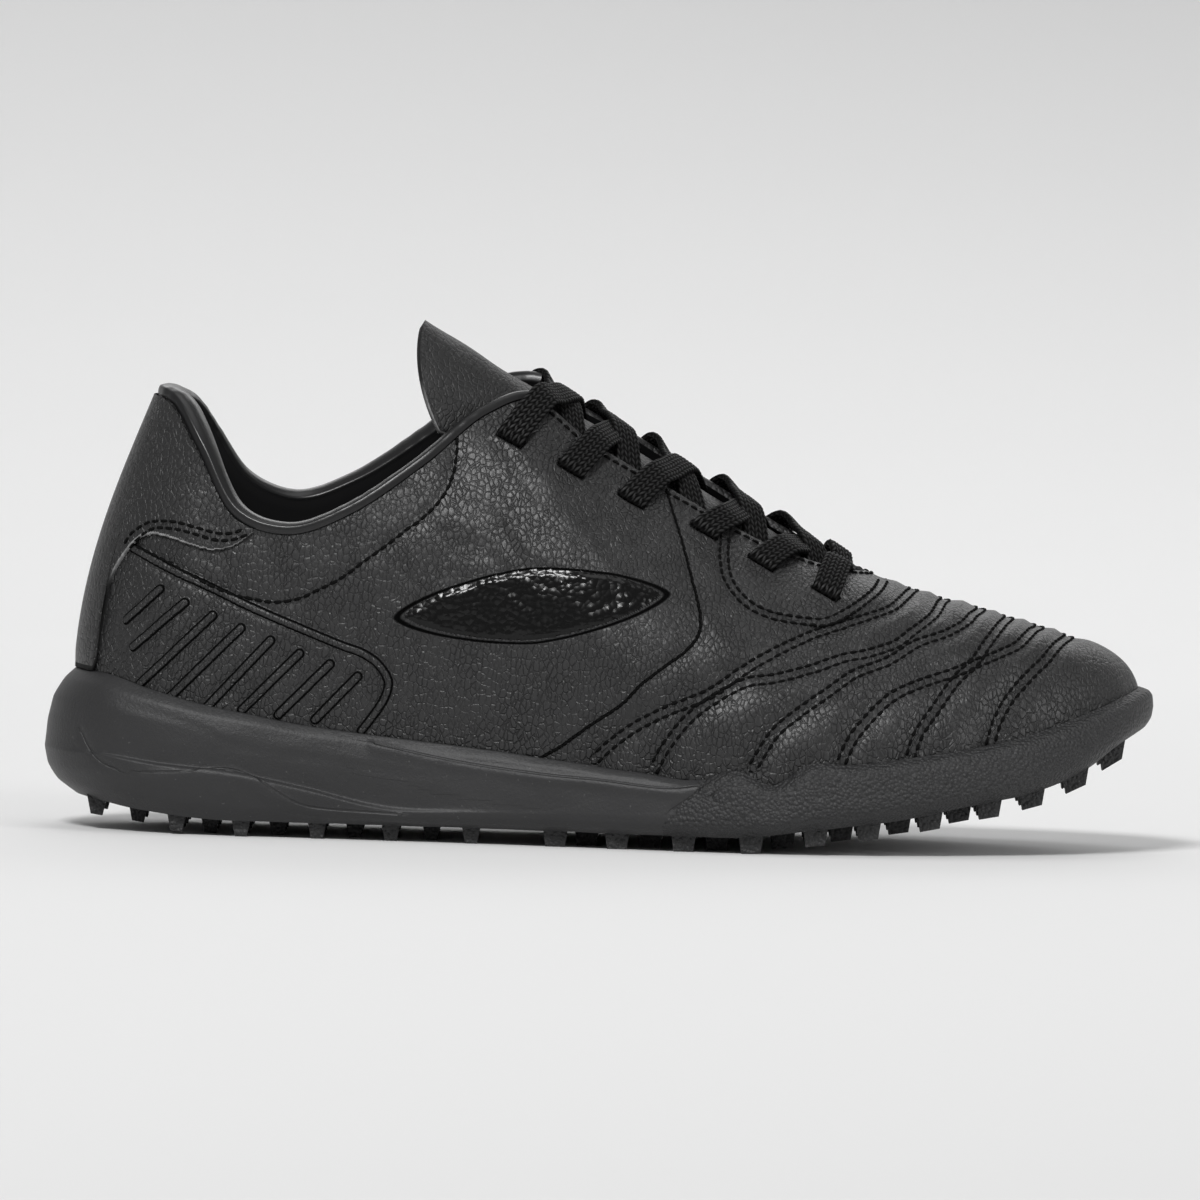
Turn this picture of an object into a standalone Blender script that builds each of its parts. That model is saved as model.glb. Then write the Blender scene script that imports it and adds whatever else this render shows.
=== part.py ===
"""Right turf shoe: sole with lugs, hollow lasted upper, tongue, insole and flat lace.

X runs from heel to toe, -Y is the outer side of the foot, Z is up, metres.
The floor is Z = 0 and the origin is under the middle of the shoe's length.
"""

import math

import bmesh
import bpy
import numpy as np

# Driving sizes of the sole
LENGTH = 0.2876
BALL_WIDTH = 0.1000
HEEL_WIDTH = 0.0700
SOLE_FLARE = 0.0090
LUG_HEIGHT = 0.0042
PLATE_THICKNESS = 0.0025
MIDSOLE_HEEL = 0.0140
CUP_HEIGHT = 0.0190
TOE_SPRING = 0.0265
HEEL_BEVEL = 0.0045
EDGE_UNDER = 0.0042
HEEL_UNDER = 0.0085
WAVE_STEP = 0.0012
RIM_LIP = 0.0008

# Driving sizes of the upper
HEEL_HEIGHT = 0.1125
INSTEP_HEIGHT = 0.1134
WALL = 0.0020
COLLAR_PAD = 0.0040
THROAT_WIDTH = 0.0325

# Running clearance between two curved pieces
GAP = 0.0003

# Driving sizes of the smaller pieces
INSOLE_THICKNESS = 0.0040
INSOLE_PLAY = 0.0006

BINDING_HEIGHT = 0.0034
BINDING_PROUD = 0.0007
COUNTER_THICKNESS = 0.0010
TONGUE_THICKNESS = 0.0028
SLOT_LENGTH = 0.0086
SLOT_WIDTH = 0.0028
SLOT_DEPTH = 0.0050
LACE_WIDTH = 0.0075
LACE_THICKNESS = 0.0018

# Lugs: tip, base and pitch, and how far the outer row stays from the edge of the tread
LUG_TIP = 0.0050
LUG_BASE = 0.0066
HEEL_LUG_TIP = 0.0030
HEEL_LUG_BASE = 0.0052
LUG_PITCH_ACROSS = 0.0170
HEEL_LUG_PITCH_ACROSS = 0.0150
LUG_EDGE_ROOM = 0.0010
LUG_ROOT = 0.0012

# The tray's own steps inside, share of the flare, and how far its cutter reaches past the sole
TRAY_STEP = 0.12
ROOM_SPREAD = 0.0020

# Stations between two rows of the section tables
STATION_STEPS = 2

# Sections of the sole from heel to toe.
# along: share of LENGTH; lateral, medial: outline, share of the local width;
# ball: 0 takes the heel's width, 1 the ball's; flare: share of SOLE_FLARE;
# spring: share of HEEL_BEVEL behind the middle and of TOE_SPRING in front of it;
# foam: share of MIDSOLE_HEEL; cup: share of CUP_HEIGHT;
# wave: height of the side's crest, from tread to rim; step: share of WAVE_STEP;
# under: 0 takes EDGE_UNDER, 1 HEEL_UNDER.
SOLE_COLUMNS = (
    "along", "lateral", "medial", "ball", "flare",
    "spring", "foam", "cup", "wave", "step", "under",
)
SOLE_SECTIONS = (
    (0.000, 0.000, 0.000, 0.00, 1.00, 1.000, 0.770, 1.000, 0.36, 0.0, 1.0),
    (0.014, 0.214, 0.214, 0.00, 0.97, 0.950, 0.780, 0.990, 0.36, 0.0, 0.9),
    (0.049, 0.379, 0.371, 0.00, 0.85, 0.730, 0.820, 0.970, 0.38, 0.4, 0.5),
    (0.104, 0.479, 0.464, 0.00, 0.66, 0.290, 0.930, 0.790, 0.40, 1.0, 0.2),
    (0.167, 0.514, 0.486, 0.00, 0.55, 0.000, 1.000, 0.610, 0.42, 1.0, 0.0),
    (0.236, 0.521, 0.471, 0.00, 0.50, 0.000, 0.930, 0.490, 0.34, 1.0, 0.0),
    (0.313, 0.503, 0.409, 0.15, 0.47, 0.000, 0.810, 0.450, 0.18, 0.7, 0.0),
    (0.389, 0.497, 0.354, 0.35, 0.45, 0.000, 0.660, 0.450, 0.20, 0.2, 0.0),
    (0.466, 0.503, 0.341, 0.55, 0.45, 0.000, 0.540, 0.410, 0.25, 0.0, 0.0),
    (0.535, 0.514, 0.362, 0.75, 0.45, 0.000, 0.410, 0.385, 0.30, 0.0, 0.0),
    (0.591, 0.521, 0.402, 0.90, 0.47, 0.000, 0.365, 0.360, 0.32, 0.0, 0.0),
    (0.622, 0.518, 0.420, 1.00, 0.50, 0.000, 0.350, 0.500, 0.34, 0.0, 0.0),
    (0.654, 0.525, 0.445, 1.00, 0.50, 0.034, 0.330, 0.280, 0.35, 0.0, 0.0),
    (0.688, 0.525, 0.468, 1.00, 0.50, 0.083, 0.315, 0.510, 0.35, 0.0, 0.0),
    (0.730, 0.510, 0.485, 1.00, 0.50, 0.140, 0.310, 0.453, 0.36, 0.0, 0.0),
    (0.779, 0.480, 0.485, 1.00, 0.50, 0.215, 0.310, 0.442, 0.38, 0.0, 0.0),
    (0.834, 0.428, 0.457, 1.00, 0.50, 0.340, 0.310, 0.400, 0.40, 0.0, 0.0),
    (0.894, 0.350, 0.408, 1.00, 0.48, 0.475, 0.315, 0.410, 0.45, 0.0, 0.0),
    (0.942, 0.255, 0.335, 1.00, 0.45, 0.665, 0.300, 0.405, 0.50, 0.0, 0.1),
    (0.979, 0.130, 0.235, 1.00, 0.42, 0.900, 0.200, 0.375, 0.55, 0.0, 0.2),
    (1.000, -0.055, 0.055, 1.00, 0.40, 1.000, 0.165, 0.390, 0.58, 0.0, 0.2),
)

# The upper's top edge and side curve at the same sections.
# top_along: share of LENGTH; top_lateral, top_medial: share of THROAT_WIDTH;
# high_lateral, high_medial: share of HEEL_HEIGHT at the collar and INSTEP_HEIGHT at the throat;
# lean: outward lean of the side at the sole, degrees; low, high: handles, share of the chord;
# crown_lateral, crown_medial: lean of the side at its top edge, degrees from upright;
# pad: share of COLLAR_PAD; throat: 0 at the collar, 1 at the throat.
TOP_COLUMNS = (
    "top_along", "top_lateral", "top_medial", "high_lateral", "high_medial",
    "lean", "low", "high", "crown_lateral", "crown_medial", "pad", "throat",
)
TOP_SECTIONS = (
    (0.0949, 0.000, 0.000, 1.000, 1.000, 7.0, 0.40, 0.28, 21, 21, 1.0, 0),
    (0.0991, 0.246, 0.246, 0.998, 0.999, 7.0, 0.40, 0.28, 20, 20, 1.0, 0),
    (0.1130, 0.446, 0.446, 0.973, 0.978, 7.0, 0.39, 0.28, 16, 16, 1.0, 0),
    (0.1342, 0.677, 0.646, 0.880, 0.907, 7.0, 0.37, 0.30, 12, 12, 1.0, 0),
    (0.1652, 0.846, 0.800, 0.738, 0.804, 7.0, 0.35, 0.33, 8, 8, 1.0, 0),
    (0.2156, 0.954, 0.892, 0.692, 0.754, 7.0, 0.35, 0.35, 8, 8, 1.0, 0),
    (0.2747, 0.985, 0.908, 0.745, 0.804, 7.0, 0.35, 0.33, 12, 10, 1.0, 0),
    (0.3373, 0.877, 0.862, 0.858, 0.916, 7.0, 0.35, 0.31, 22, 18, 0.9, 0),
    (0.3929, 0.646, 0.738, 0.970, 1.018, 7.0, 0.35, 0.30, 35, 28, 0.5, 1),
    (0.4398, 0.477, 0.615, 0.999, 1.038, 7.0, 0.34, 0.30, 45, 35, 0.15, 1),
    (0.4868, 0.437, 0.569, 0.911, 0.974, 7.5, 0.33, 0.32, 47, 36, 0.0, 1),
    (0.5250, 0.418, 0.545, 0.855, 0.926, 8.0, 0.32, 0.33, 48, 38, 0.0, 1),
    (0.5633, 0.400, 0.523, 0.802, 0.869, 8.0, 0.32, 0.35, 50, 42, 0.0, 1),
    (0.6033, 0.378, 0.492, 0.745, 0.811, 8.0, 0.31, 0.38, 53, 47, 0.0, 1),
    (0.6433, 0.348, 0.449, 0.693, 0.750, 8.0, 0.30, 0.42, 57, 53, 0.0, 1),
    (0.6798, 0.295, 0.385, 0.659, 0.700, 7.5, 0.28, 0.48, 63, 61, 0.0, 1),
    (0.7076, 0.209, 0.292, 0.640, 0.662, 7.0, 0.27, 0.55, 67, 67, 0.0, 1),
    (0.7250, 0.105, 0.209, 0.633, 0.643, 6.0, 0.26, 0.62, 71, 71, 0.0, 1),
    (0.7323, 0.009, 0.142, 0.631, 0.636, 5.5, 0.26, 0.66, 73, 73, 0.0, 1),
    (0.7350, -0.037, 0.098, 0.631, 0.632, 5.0, 0.26, 0.69, 74, 74, 0.0, 1),
    (0.7357, -0.068, 0.068, 0.631, 0.631, 5.0, 0.26, 0.70, 74, 74, 0.0, 1),
)

# The sole's side from the crest up to the rim: share of that height, share of the inset at the rim
SIDE_COLUMNS = ("rise", "heel_inset", "side_inset")
SIDE_CURVE = (
    (0.35, 0.08, 0.03),
    (0.64, 0.26, 0.10),
    (0.87, 0.62, 0.40),
    (1.00, 1.00, 1.00),
)

# Last row of the top table that the collar's binding reaches, and the last that the counter reaches
BINDING_LAST_ROW = 9
COUNTER_LAST_ROW = 6

# Lower edge of the counter, seen from the side: shares of LENGTH and of HEEL_HEIGHT
COUNTER_EDGE = (
    (0.0449, 0.345), (0.0487, 0.416), (0.0522, 0.490), (0.0580, 0.560), (0.0657, 0.610),
    (0.0800, 0.664), (0.0932, 0.683), (0.1085, 0.681), (0.1398, 0.658), (0.1554, 0.655),
    (0.1707, 0.667), (0.1878, 0.700),
)

# Tongue from its seam under the vamp to its free end.
# along: share of LENGTH; crest: top of the arch, share of INSTEP_HEIGHT;
# centre, half: share of THROAT_WIDTH; drop: fall of the sides, share of INSTEP_HEIGHT;
# tilt: rise to the inner side, degrees; rear: how far the sides trail the crest, share of LENGTH.
TONGUE_COLUMNS = ("along", "crest", "centre", "half", "drop", "tilt", "rear")
TONGUE_SECTIONS = (
    (0.766, 0.569, 0.08, 0.38, 0.045, 5, 0.000),
    (0.735, 0.592, 0.08, 0.48, 0.085, 7, 0.000),
    (0.700, 0.638, 0.08, 0.56, 0.135, 9, 0.000),
    (0.650, 0.713, 0.08, 0.63, 0.205, 12, 0.000),
    (0.600, 0.783, 0.08, 0.67, 0.255, 12, 0.000),
    (0.550, 0.855, 0.08, 0.69, 0.275, 11, 0.000),
    (0.500, 0.929, 0.07, 0.70, 0.290, 9, 0.000),
    (0.450, 1.002, 0.05, 0.68, 0.290, 6, 0.002),
    (0.413, 1.056, 0.06, 0.58, 0.290, 4, 0.006),
    (0.380, 1.107, 0.05, 0.57, 0.280, 2, 0.012),
    (0.348, 1.156, 0.02, 0.60, 0.270, 0, 0.016),
    (0.333, 1.179, 0.02, 0.62, 0.270, 0, 0.018),
)
TONGUE_SWEEP = math.radians(72)
TONGUE_STEPS = 12

# Eyelet slots from the toe end to the ankle end.
# along: share of LENGTH; lateral, medial: height on either side, share of INSTEP_HEIGHT.
SLOT_COLUMNS = ("along", "lateral", "medial")
SLOTS = (
    (0.699, 0.585, 0.606),
    (0.641, 0.648, 0.690),
    (0.589, 0.718, 0.768),
    (0.523, 0.784, 0.838),
    (0.468, 0.851, 0.908),
    (0.414, 0.917, 0.966),
)
SLOT_SLOPE = math.radians(28)

# One strand of lace on its way over the throat.
# place: 0 in its slot, 1 on the near edge, 2 on the tongue's crest, 3 on the tongue by the far edge;
# height: middle of the lace above that surface, in lace thicknesses.
STRAND_PATH = (
    (0.00, -0.6), (0.00, 1.0), (0.30, 1.45), (0.85, 1.7), (1.15, 1.75), (1.50, 1.6),
    (1.80, 1.3), (2.20, 1.2), (2.60, 1.1), (3.00, 1.0),
)
BAR_PATH = (
    (0.00, -0.6), (0.00, 1.0), (0.40, 1.6), (0.85, 2.05),
    (1.20, 2.15), (1.60, 2.05), (2.00, 2.05),
)
CROSSING_LIFT = 0.90
CREST_PLACE = 2.0
CREST_REACH = 1.1
TURN_STEPS = 3

# Where a strand crosses the near edge, the crest and the far edge, shares of the way to the next slot
NEAR_SHARE = 0.25
CREST_SHARE = 0.55
FAR_SHARE = 0.80

# How far a strand stops from the far edge, and how far the bar leans towards the toe
FAR_ROOM = 0.0050
BAR_LEAN = 0.0034
BAR_EDGE_SHARE = 0.8

# Where the forefoot's rubber wall starts and where it has its full height, shares of LENGTH
RAND_START = 0.560
RAND_FULL = 0.604

# Rows of lugs across the sole: place as a share of LENGTH, kind, and whether the row is staggered
LUG_ROWS = (
    (0.050, "heel", 0), (0.087, "heel", 1), (0.124, "heel", 0), (0.153, "heel", 1),
    (0.182, "heel", 0), (0.214, "heel", 1), (0.250, "heel", 0), (0.283, "heel", 1),
    (0.316, "heel", 0), (0.352, "heel", 1), (0.388, "heel", 0),
    (0.463, "ball", 0), (0.491, "ball", 1), (0.518, "ball", 0), (0.548, "ball", 1),
    (0.577, "ball", 0), (0.607, "ball", 1), (0.637, "ball", 0), (0.666, "ball", 1),
    (0.694, "ball", 0), (0.7175, "ball", 1), (0.741, "ball", 0), (0.769, "ball", 1),
    (0.796, "ball", 0), (0.823, "ball", 1), (0.849, "ball", 0), (0.888, "ball", 0),
    (0.928, "ball", 0), (0.962, "ball", 0),
)

# Section of the collar's binding: share of the wall it sits on, of BINDING_PROUD and of BINDING_HEIGHT
BINDING_SECTION = (
    (0.00, -0.6, 0.00),
    (0.00, -1.0, 0.55),
    (0.18, 0.0, 0.90),
    (0.50, 0.0, 1.00),
    (0.82, 0.0, 0.90),
    (1.00, 1.0, 0.55),
    (1.00, 0.6, 0.00),
)

COLOURS = {
    "rubber": ((0.035, 0.035, 0.037, 1.0), 0.75),
    "foam": ((0.040, 0.040, 0.042, 1.0), 0.65),
    "leather": ((0.030, 0.030, 0.031, 1.0), 0.48),
    "lining": ((0.024, 0.024, 0.025, 1.0), 0.55),
    "cord": ((0.014, 0.014, 0.014, 1.0), 0.85),
}


def clear_scene():
    for old in list(bpy.data.objects):
        bpy.data.objects.remove(old, do_unlink=True)


def material(name):
    colour, roughness = COLOURS[name]
    made = bpy.data.materials.get(name) or bpy.data.materials.new(name)
    made.use_nodes = True
    shader = made.node_tree.nodes["Principled BSDF"]
    shader.inputs["Base Color"].default_value = colour
    shader.inputs["Roughness"].default_value = roughness
    shader.inputs["Metallic"].default_value = 0.0
    return made


def columns(names, rows):
    table = np.array(rows, float)
    return {name: table[:, i] for i, name in enumerate(names)}


def mix(low, high, share):
    return low + (high - low) * share


def smooth(low, high, value):
    share = np.clip((value - low) / (high - low), 0.0, 1.0)
    return share * share * (3.0 - 2.0 * share)


def along_x(share):
    """X of a place given as a share of the length from the heel."""
    return (share - 0.5) * LENGTH


def round_the_shoe(lateral, medial):
    """One closed list: heel, outer side to the toe, inner side back to the heel."""
    return np.concatenate([lateral, medial[-2:0:-1]])


def closed_spline(values, knots, total, spans):
    """Smooth closed curve through the rows, with the same number of steps in every span."""
    count = len(knots)
    before = np.roll(values, 1, 0)
    after = np.roll(values, -1, 0)
    gap_after = np.diff(np.append(knots, knots[0] + total))
    gap_before = np.roll(gap_after, 1)
    slope_before = (values - before) / gap_before[:, None]
    slope_after = (after - values) / gap_after[:, None]
    weight = (gap_after / (gap_before + gap_after))[:, None]
    tangent = slope_before * weight + slope_after * (1.0 - weight)
    made = []
    for i in range(count):
        j = (i + 1) % count
        step = gap_after[i]
        for k in range(spans):
            u = k / spans
            made.append(
                values[i] * (2 * u**3 - 3 * u**2 + 1)
                + tangent[i] * step * (u**3 - 2 * u**2 + u)
                + values[j] * (3 * u**2 - 2 * u**3)
                + tangent[j] * step * (u**3 - u**2)
            )
    return np.array(made)


def side_shift():
    """How far the shoe moves across so that its widest places lie evenly about the middle."""
    sole = columns(SOLE_COLUMNS, SOLE_SECTIONS)
    width = mix(HEEL_WIDTH, BALL_WIDTH, sole["ball"])
    return ((sole["lateral"] * width).max() - (sole["medial"] * width).max()) / 2


def shoe_sections(spans):
    """Everything that the pieces share, worked out at each station round the shoe."""
    sole = columns(SOLE_COLUMNS, SOLE_SECTIONS)
    top = columns(TOP_COLUMNS, TOP_SECTIONS)
    width = mix(HEEL_WIDTH, BALL_WIDTH, sole["ball"])
    raised = np.where(sole["along"] < 0.5, HEEL_BEVEL, TOE_SPRING)
    shift = side_shift()
    height = np.where(top["throat"] > 0.5, INSTEP_HEIGHT, HEEL_HEIGHT)
    pairs = {
        "x": (along_x(sole["along"]), along_x(sole["along"])),
        "y": (shift - sole["lateral"] * width, shift + sole["medial"] * width),
        "flare": (sole["flare"] * SOLE_FLARE,) * 2,
        "floor": (sole["spring"] * raised,) * 2,
        "foam": (sole["foam"] * MIDSOLE_HEEL,) * 2,
        "cup": (sole["cup"] * CUP_HEIGHT,) * 2,
        "wave": (sole["wave"],) * 2,
        "step": (sole["step"] * WAVE_STEP,) * 2,
        "under": (mix(EDGE_UNDER, HEEL_UNDER, sole["under"]),) * 2,
        "top_x": (along_x(top["top_along"]),) * 2,
        "top_y": (shift - top["top_lateral"] * THROAT_WIDTH, shift + top["top_medial"] * THROAT_WIDTH),
        "top_z": (top["high_lateral"] * height, top["high_medial"] * height),
        "lean": (np.radians(top["lean"]),) * 2,
        "low": (top["low"],) * 2,
        "high": (top["high"],) * 2,
        "crown": (np.radians(top["crown_lateral"]), np.radians(top["crown_medial"])),
        "pad": (top["pad"] * COLLAR_PAD,) * 2,
    }
    names = list(pairs)
    rows = np.stack([round_the_shoe(*pairs[name]) for name in names], 1)
    hops = np.linalg.norm(np.roll(rows[:, :2], -1, 0) - rows[:, :2], axis=1)
    knots = np.concatenate([[0.0], np.cumsum(hops)[:-1]])
    values = closed_spline(rows, knots, hops.sum(), spans)
    s = {name: values[:, i] for i, name in enumerate(names)}
    s["floor"] = np.maximum(s["floor"], 0.0)
    s["tread"] = s["floor"] + LUG_HEIGHT
    s["plate"] = s["tread"] + PLATE_THICKNESS
    s["bed"] = s["plate"] + s["foam"]
    s["rim"] = s["bed"] + s["cup"]
    plan = np.stack([s["x"], s["y"]], 1)
    run = np.roll(plan, -1, 0) - np.roll(plan, 1, 0)
    run /= np.linalg.norm(run, axis=1)[:, None]
    s["plan"] = plan
    s["out"] = np.stack([run[:, 1], -run[:, 0]], 1)
    s["rand"] = smooth(along_x(RAND_START), along_x(RAND_FULL), s["x"])
    out = flat(s["out"])
    foot = plan - s["out"] * s["flare"][:, None]
    s["base"] = np.column_stack([foot, s["bed"] + GAP])
    s["edge"] = np.stack([s["top_x"], s["top_y"], s["top_z"]], 1)
    chord = np.linalg.norm(s["edge"] - s["base"], axis=1)[:, None]
    up = np.array([0.0, 0.0, 1.0])
    lean = s["lean"][:, None]
    crown = s["crown"][:, None]
    s["rise"] = s["base"] + chord * s["low"][:, None] * (up * np.cos(lean) + out * np.sin(lean))
    s["shoulder"] = s["edge"] - chord * s["high"][:, None] * (up * np.cos(crown) - out * np.sin(crown))
    s["rim_level"] = level_of(s, s["rim"])
    return s


def flat(directions):
    return np.column_stack([directions, np.zeros(len(directions))])


def side_curve(s, w):
    """Point on the upper's outer side at share w of its curve, for every station."""
    w = np.asarray(w)[:, None]
    return (
        s["base"] * (1 - w) ** 3
        + s["rise"] * 3 * w * (1 - w) ** 2
        + s["shoulder"] * 3 * w**2 * (1 - w)
        + s["edge"] * w**3
    )


def side_normal(s, w):
    """Outward direction of the upper's side at share w."""
    w = np.asarray(w)
    here = side_curve(s, w)
    climb = side_curve(s, np.minimum(w + 0.01, 1.0)) - side_curve(s, np.maximum(w - 0.01, 0.0))
    run = np.roll(here, -1, 0) - np.roll(here, 1, 0)
    normal = np.cross(run, climb)
    return normal / np.linalg.norm(normal, axis=1)[:, None]


def level_of(s, height):
    """Share of the side's curve at which it reaches a height."""
    low = np.zeros(len(height))
    high = np.ones(len(height))
    for _ in range(40):
        middle = (low + high) / 2
        under = side_curve(s, middle)[:, 2] < height
        low = np.where(under, middle, low)
        high = np.where(under, high, middle)
    return (low + high) / 2


def offset_side(s, w, distance):
    return side_curve(s, w) + side_normal(s, w) * np.asarray(distance)[:, None]


def ladder(first, count):
    """Faces that close a ring whose stations pair up across the shoe."""
    half = count // 2
    faces = [(first, first + 1, first + count - 1)]
    for i in range(1, half - 1):
        faces.append((first + i, first + i + 1, first + count - i - 1, first + count - i))
    faces.append((first + half - 1, first + half, first + half + 1))
    return faces


def split_quad(verts, corners):
    """Two triangles that share the corner lowest down, so that facets match from piece to piece."""
    a, b, c, d = corners
    lowest = min(corners, key=lambda corner: verts[corner][2])
    if lowest in (a, c):
        return [(a, b, c), (a, c, d)]
    return [(b, c, d), (b, d, a)]


def rings_to_mesh(name, rings, capped):
    """Skin a list of closed rings, closed by caps or back onto the first ring."""
    count = len(rings[0])
    verts = np.concatenate(rings)
    faces = []
    last = len(rings) - 1 if capped else len(rings)
    for r in range(last):
        a = r * count
        b = ((r + 1) % len(rings)) * count
        for i in range(count):
            j = (i + 1) % count
            faces += split_quad(verts, (a + i, a + j, b + j, b + i))
    if capped:
        faces += [tuple(reversed(face)) for face in ladder(0, count)]
        faces += ladder((len(rings) - 1) * count, count)
    return solid_mesh(name, verts, faces)


def solid_mesh(name, verts, faces):
    mesh = bpy.data.meshes.new(name)
    mesh.from_pydata([tuple(v) for v in verts], [], faces)
    bm = bmesh.new()
    bm.from_mesh(mesh)
    bmesh.ops.recalc_face_normals(bm, faces=bm.faces)
    bm.to_mesh(mesh)
    bm.free()
    return mesh


def add_object(name, mesh, finish):
    made = bpy.data.objects.new(name, mesh)
    bpy.context.scene.collection.objects.link(made)
    mesh.materials.append(material(finish))
    mesh.shade_smooth()
    mesh.set_sharp_from_angle(angle=math.radians(35))
    return made


def add_tool(name, mesh):
    """A cutter: it shapes other pieces and isn't a piece itself."""
    made = bpy.data.objects.new(name, mesh)
    bpy.context.scene.collection.objects.link(made)
    made.hide_render = True
    made.display_type = "WIRE"
    return made


def combine(target, tool, operation):
    step = target.modifiers.new(tool.name, "BOOLEAN")
    step.operation = operation
    step.object = tool
    step.solver = "EXACT"


def sole_side(s):
    """The sole's outer side from tread to rim: a list of rings."""
    rim_inset = s["flare"] - sideways_drift(s) - RIM_LIP
    heel_share = smooth(0.0, 1.0, (s["under"] - EDGE_UNDER) / (HEEL_UNDER - EDGE_UNDER))
    crest = s["tread"] + (s["rim"] - s["tread"]) * s["wave"]
    rings = []
    for lift, inset in ((0.0, 1.0), (0.30, 0.42), (0.65, 0.10), (1.0, 0.0)):
        rings.append(side_ring(s, mix(s["tread"], crest, lift), s["under"] * inset))
    ledge = np.minimum(crest + WAVE_STEP, mix(crest, s["rim"], 0.15))
    rings.append(side_ring(s, ledge, s["step"]))
    side = columns(SIDE_COLUMNS, SIDE_CURVE)
    for rise, heel_inset, side_inset in zip(side["rise"], side["heel_inset"], side["side_inset"]):
        inset = mix(side_inset, heel_inset, heel_share) * rim_inset
        inset = inset + s["step"] * (1.0 - rise) * 0.8
        rings.append(side_ring(s, mix(crest, s["rim"], rise), inset))
    return rings


def side_ring(s, height, inset):
    plan = s["plan"] - s["out"] * np.asarray(inset)[:, None]
    return np.column_stack([plan, height])


def sideways_drift(s):
    """How far the upper has leaned out at the rim, past its own base."""
    rim = side_curve(s, s["rim_level"])
    return ((rim[:, :2] - s["base"][:, :2]) * s["out"]).sum(1)


def inset_at(s, rings, height):
    """Inset of the sole's side at a height, read between its rings."""
    levels = np.stack([ring[:, 2] for ring in rings])
    insets = np.stack([((s["plan"] - ring[:, :2]) * s["out"]).sum(1) for ring in rings])
    found = np.empty(len(height))
    for i, z in enumerate(height):
        found[i] = np.interp(z, levels[:, i], insets[:, i])
    return found


def cup_wall(s, clearance):
    """Inside of the sole's cup: rim, middle and bed, following the upper's side."""
    middle = s["rim_level"] * 0.5
    base = s["base"] + flat(s["out"]) * clearance
    base[:, 2] = s["bed"]
    return [
        offset_side(s, s["rim_level"], np.full(len(middle), clearance)),
        offset_side(s, middle, np.full(len(middle), clearance)),
        base,
    ]


def make_midsole(s):
    rings = sole_side(s) + cup_wall(s, GAP)
    return add_object("midsole", rings_to_mesh("midsole", rings, True), "foam")


def tray_rings(s, grow, spread):
    """The outsole's tray: tread plate with a wall round the forefoot.

    grow widens it towards the pieces inside, spread widens it to the outside."""
    side = sole_side(s)
    top = mix(s["plate"], s["rim"] + spread * 0.25, s["rand"])
    rings = []
    for share in (0.0, 0.12, 0.30, 0.55, 0.80, 1.0):
        height = mix(s["tread"], top, share)
        inset = inset_at(s, side, height) - spread
        if share == 0.0:
            height = height - spread
        if share == 1.0:
            height = height + grow
        rings.append(side_ring(s, height, inset))
    inner = cup_wall(s, GAP - grow)
    room = s["flare"] * TRAY_STEP
    for i, ring in enumerate(inner):
        reach = GAP - grow + room * (3 - i)
        flat_plan = s["base"][:, :2] + s["out"] * reach[:, None]
        flat_place = np.column_stack([flat_plan, s["plate"] + grow])
        if i == 0:
            ring = ring.copy()
            ring[:, 2] = ring[:, 2] + grow
        rings.append(mix(flat_place, ring, s["rand"][:, None]))
    foot = s["base"][:, :2] + s["out"] * (GAP - grow - room)[:, None]
    rings.append(np.column_stack([foot, s["plate"] + grow]))
    return rings


def tread_edge(s):
    """Plan of the tread's flat underside."""
    return s["plan"] - s["out"] * s["under"][:, None]


def profile_at(s, name, x):
    """A height of the underside at a place along the shoe, read on the outer side."""
    half = len(s["x"]) // 2 + 1
    return np.interp(x, tread_edge(s)[:half, 0], s[name][:half])


def tread_span(s, x):
    """Y of the tread's outer and inner edge at a place along the shoe."""
    half = len(s["x"]) // 2 + 1
    edge = tread_edge(s)
    outer = np.interp(x, edge[:half, 0], edge[:half, 1])
    inner = np.interp(x, edge[half - 1:, 0][::-1], edge[half - 1:, 1][::-1])
    return outer, inner


def lug(x, y, tip, base, s):
    """One lug: a tapered block whose foot follows the toe spring."""
    verts = []
    for half, name, drop in ((tip / 2, "floor", 0.0), (base / 2, "tread", LUG_ROOT)):
        for sx, sy in ((-1, -1), (1, -1), (1, 1), (-1, 1)):
            px = x + sx * half
            verts.append((px, y + sy * half, profile_at(s, name, px) + drop))
    faces = [(3, 2, 1, 0), (4, 5, 6, 7), (0, 1, 5, 4), (1, 2, 6, 5), (2, 3, 7, 6), (3, 0, 4, 7)]
    return verts, faces


def lug_places(s):
    places = []
    for share, kind, stagger in LUG_ROWS:
        x = along_x(share)
        tip, base, pitch = (
            (HEEL_LUG_TIP, HEEL_LUG_BASE, HEEL_LUG_PITCH_ACROSS)
            if kind == "heel"
            else (LUG_TIP, LUG_BASE, LUG_PITCH_ACROSS)
        )
        outer, inner = tread_span(s, x)
        outer += base / 2 + LUG_EDGE_ROOM
        inner -= base / 2 + LUG_EDGE_ROOM
        count = max(2, int((inner - outer) / pitch) + 1)
        spots = np.linspace(outer, inner, count)
        if stagger:
            spots = (spots[:-1] + spots[1:]) / 2
        places += [(x, y, tip, base) for y in spots]
    return places


def make_outsole(s):
    tray = add_object("outsole", rings_to_mesh("outsole", tray_rings(s, 0.0, 0.0), True), "rubber")
    verts = []
    faces = []
    for place in lug_places(s):
        corners, sides = lug(*place, s)
        faces += [tuple(len(verts) + i for i in side) for side in sides]
        verts += corners
    combine(tray, add_tool("lugs", solid_mesh("lugs", verts, faces)), "UNION")
    return tray


def fit_midsole_to_outsole(midsole, s):
    tool = add_tool("outsole_room", rings_to_mesh("outsole_room", tray_rings(s, GAP, ROOM_SPREAD), True))
    combine(midsole, tool, "DIFFERENCE")


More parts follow.
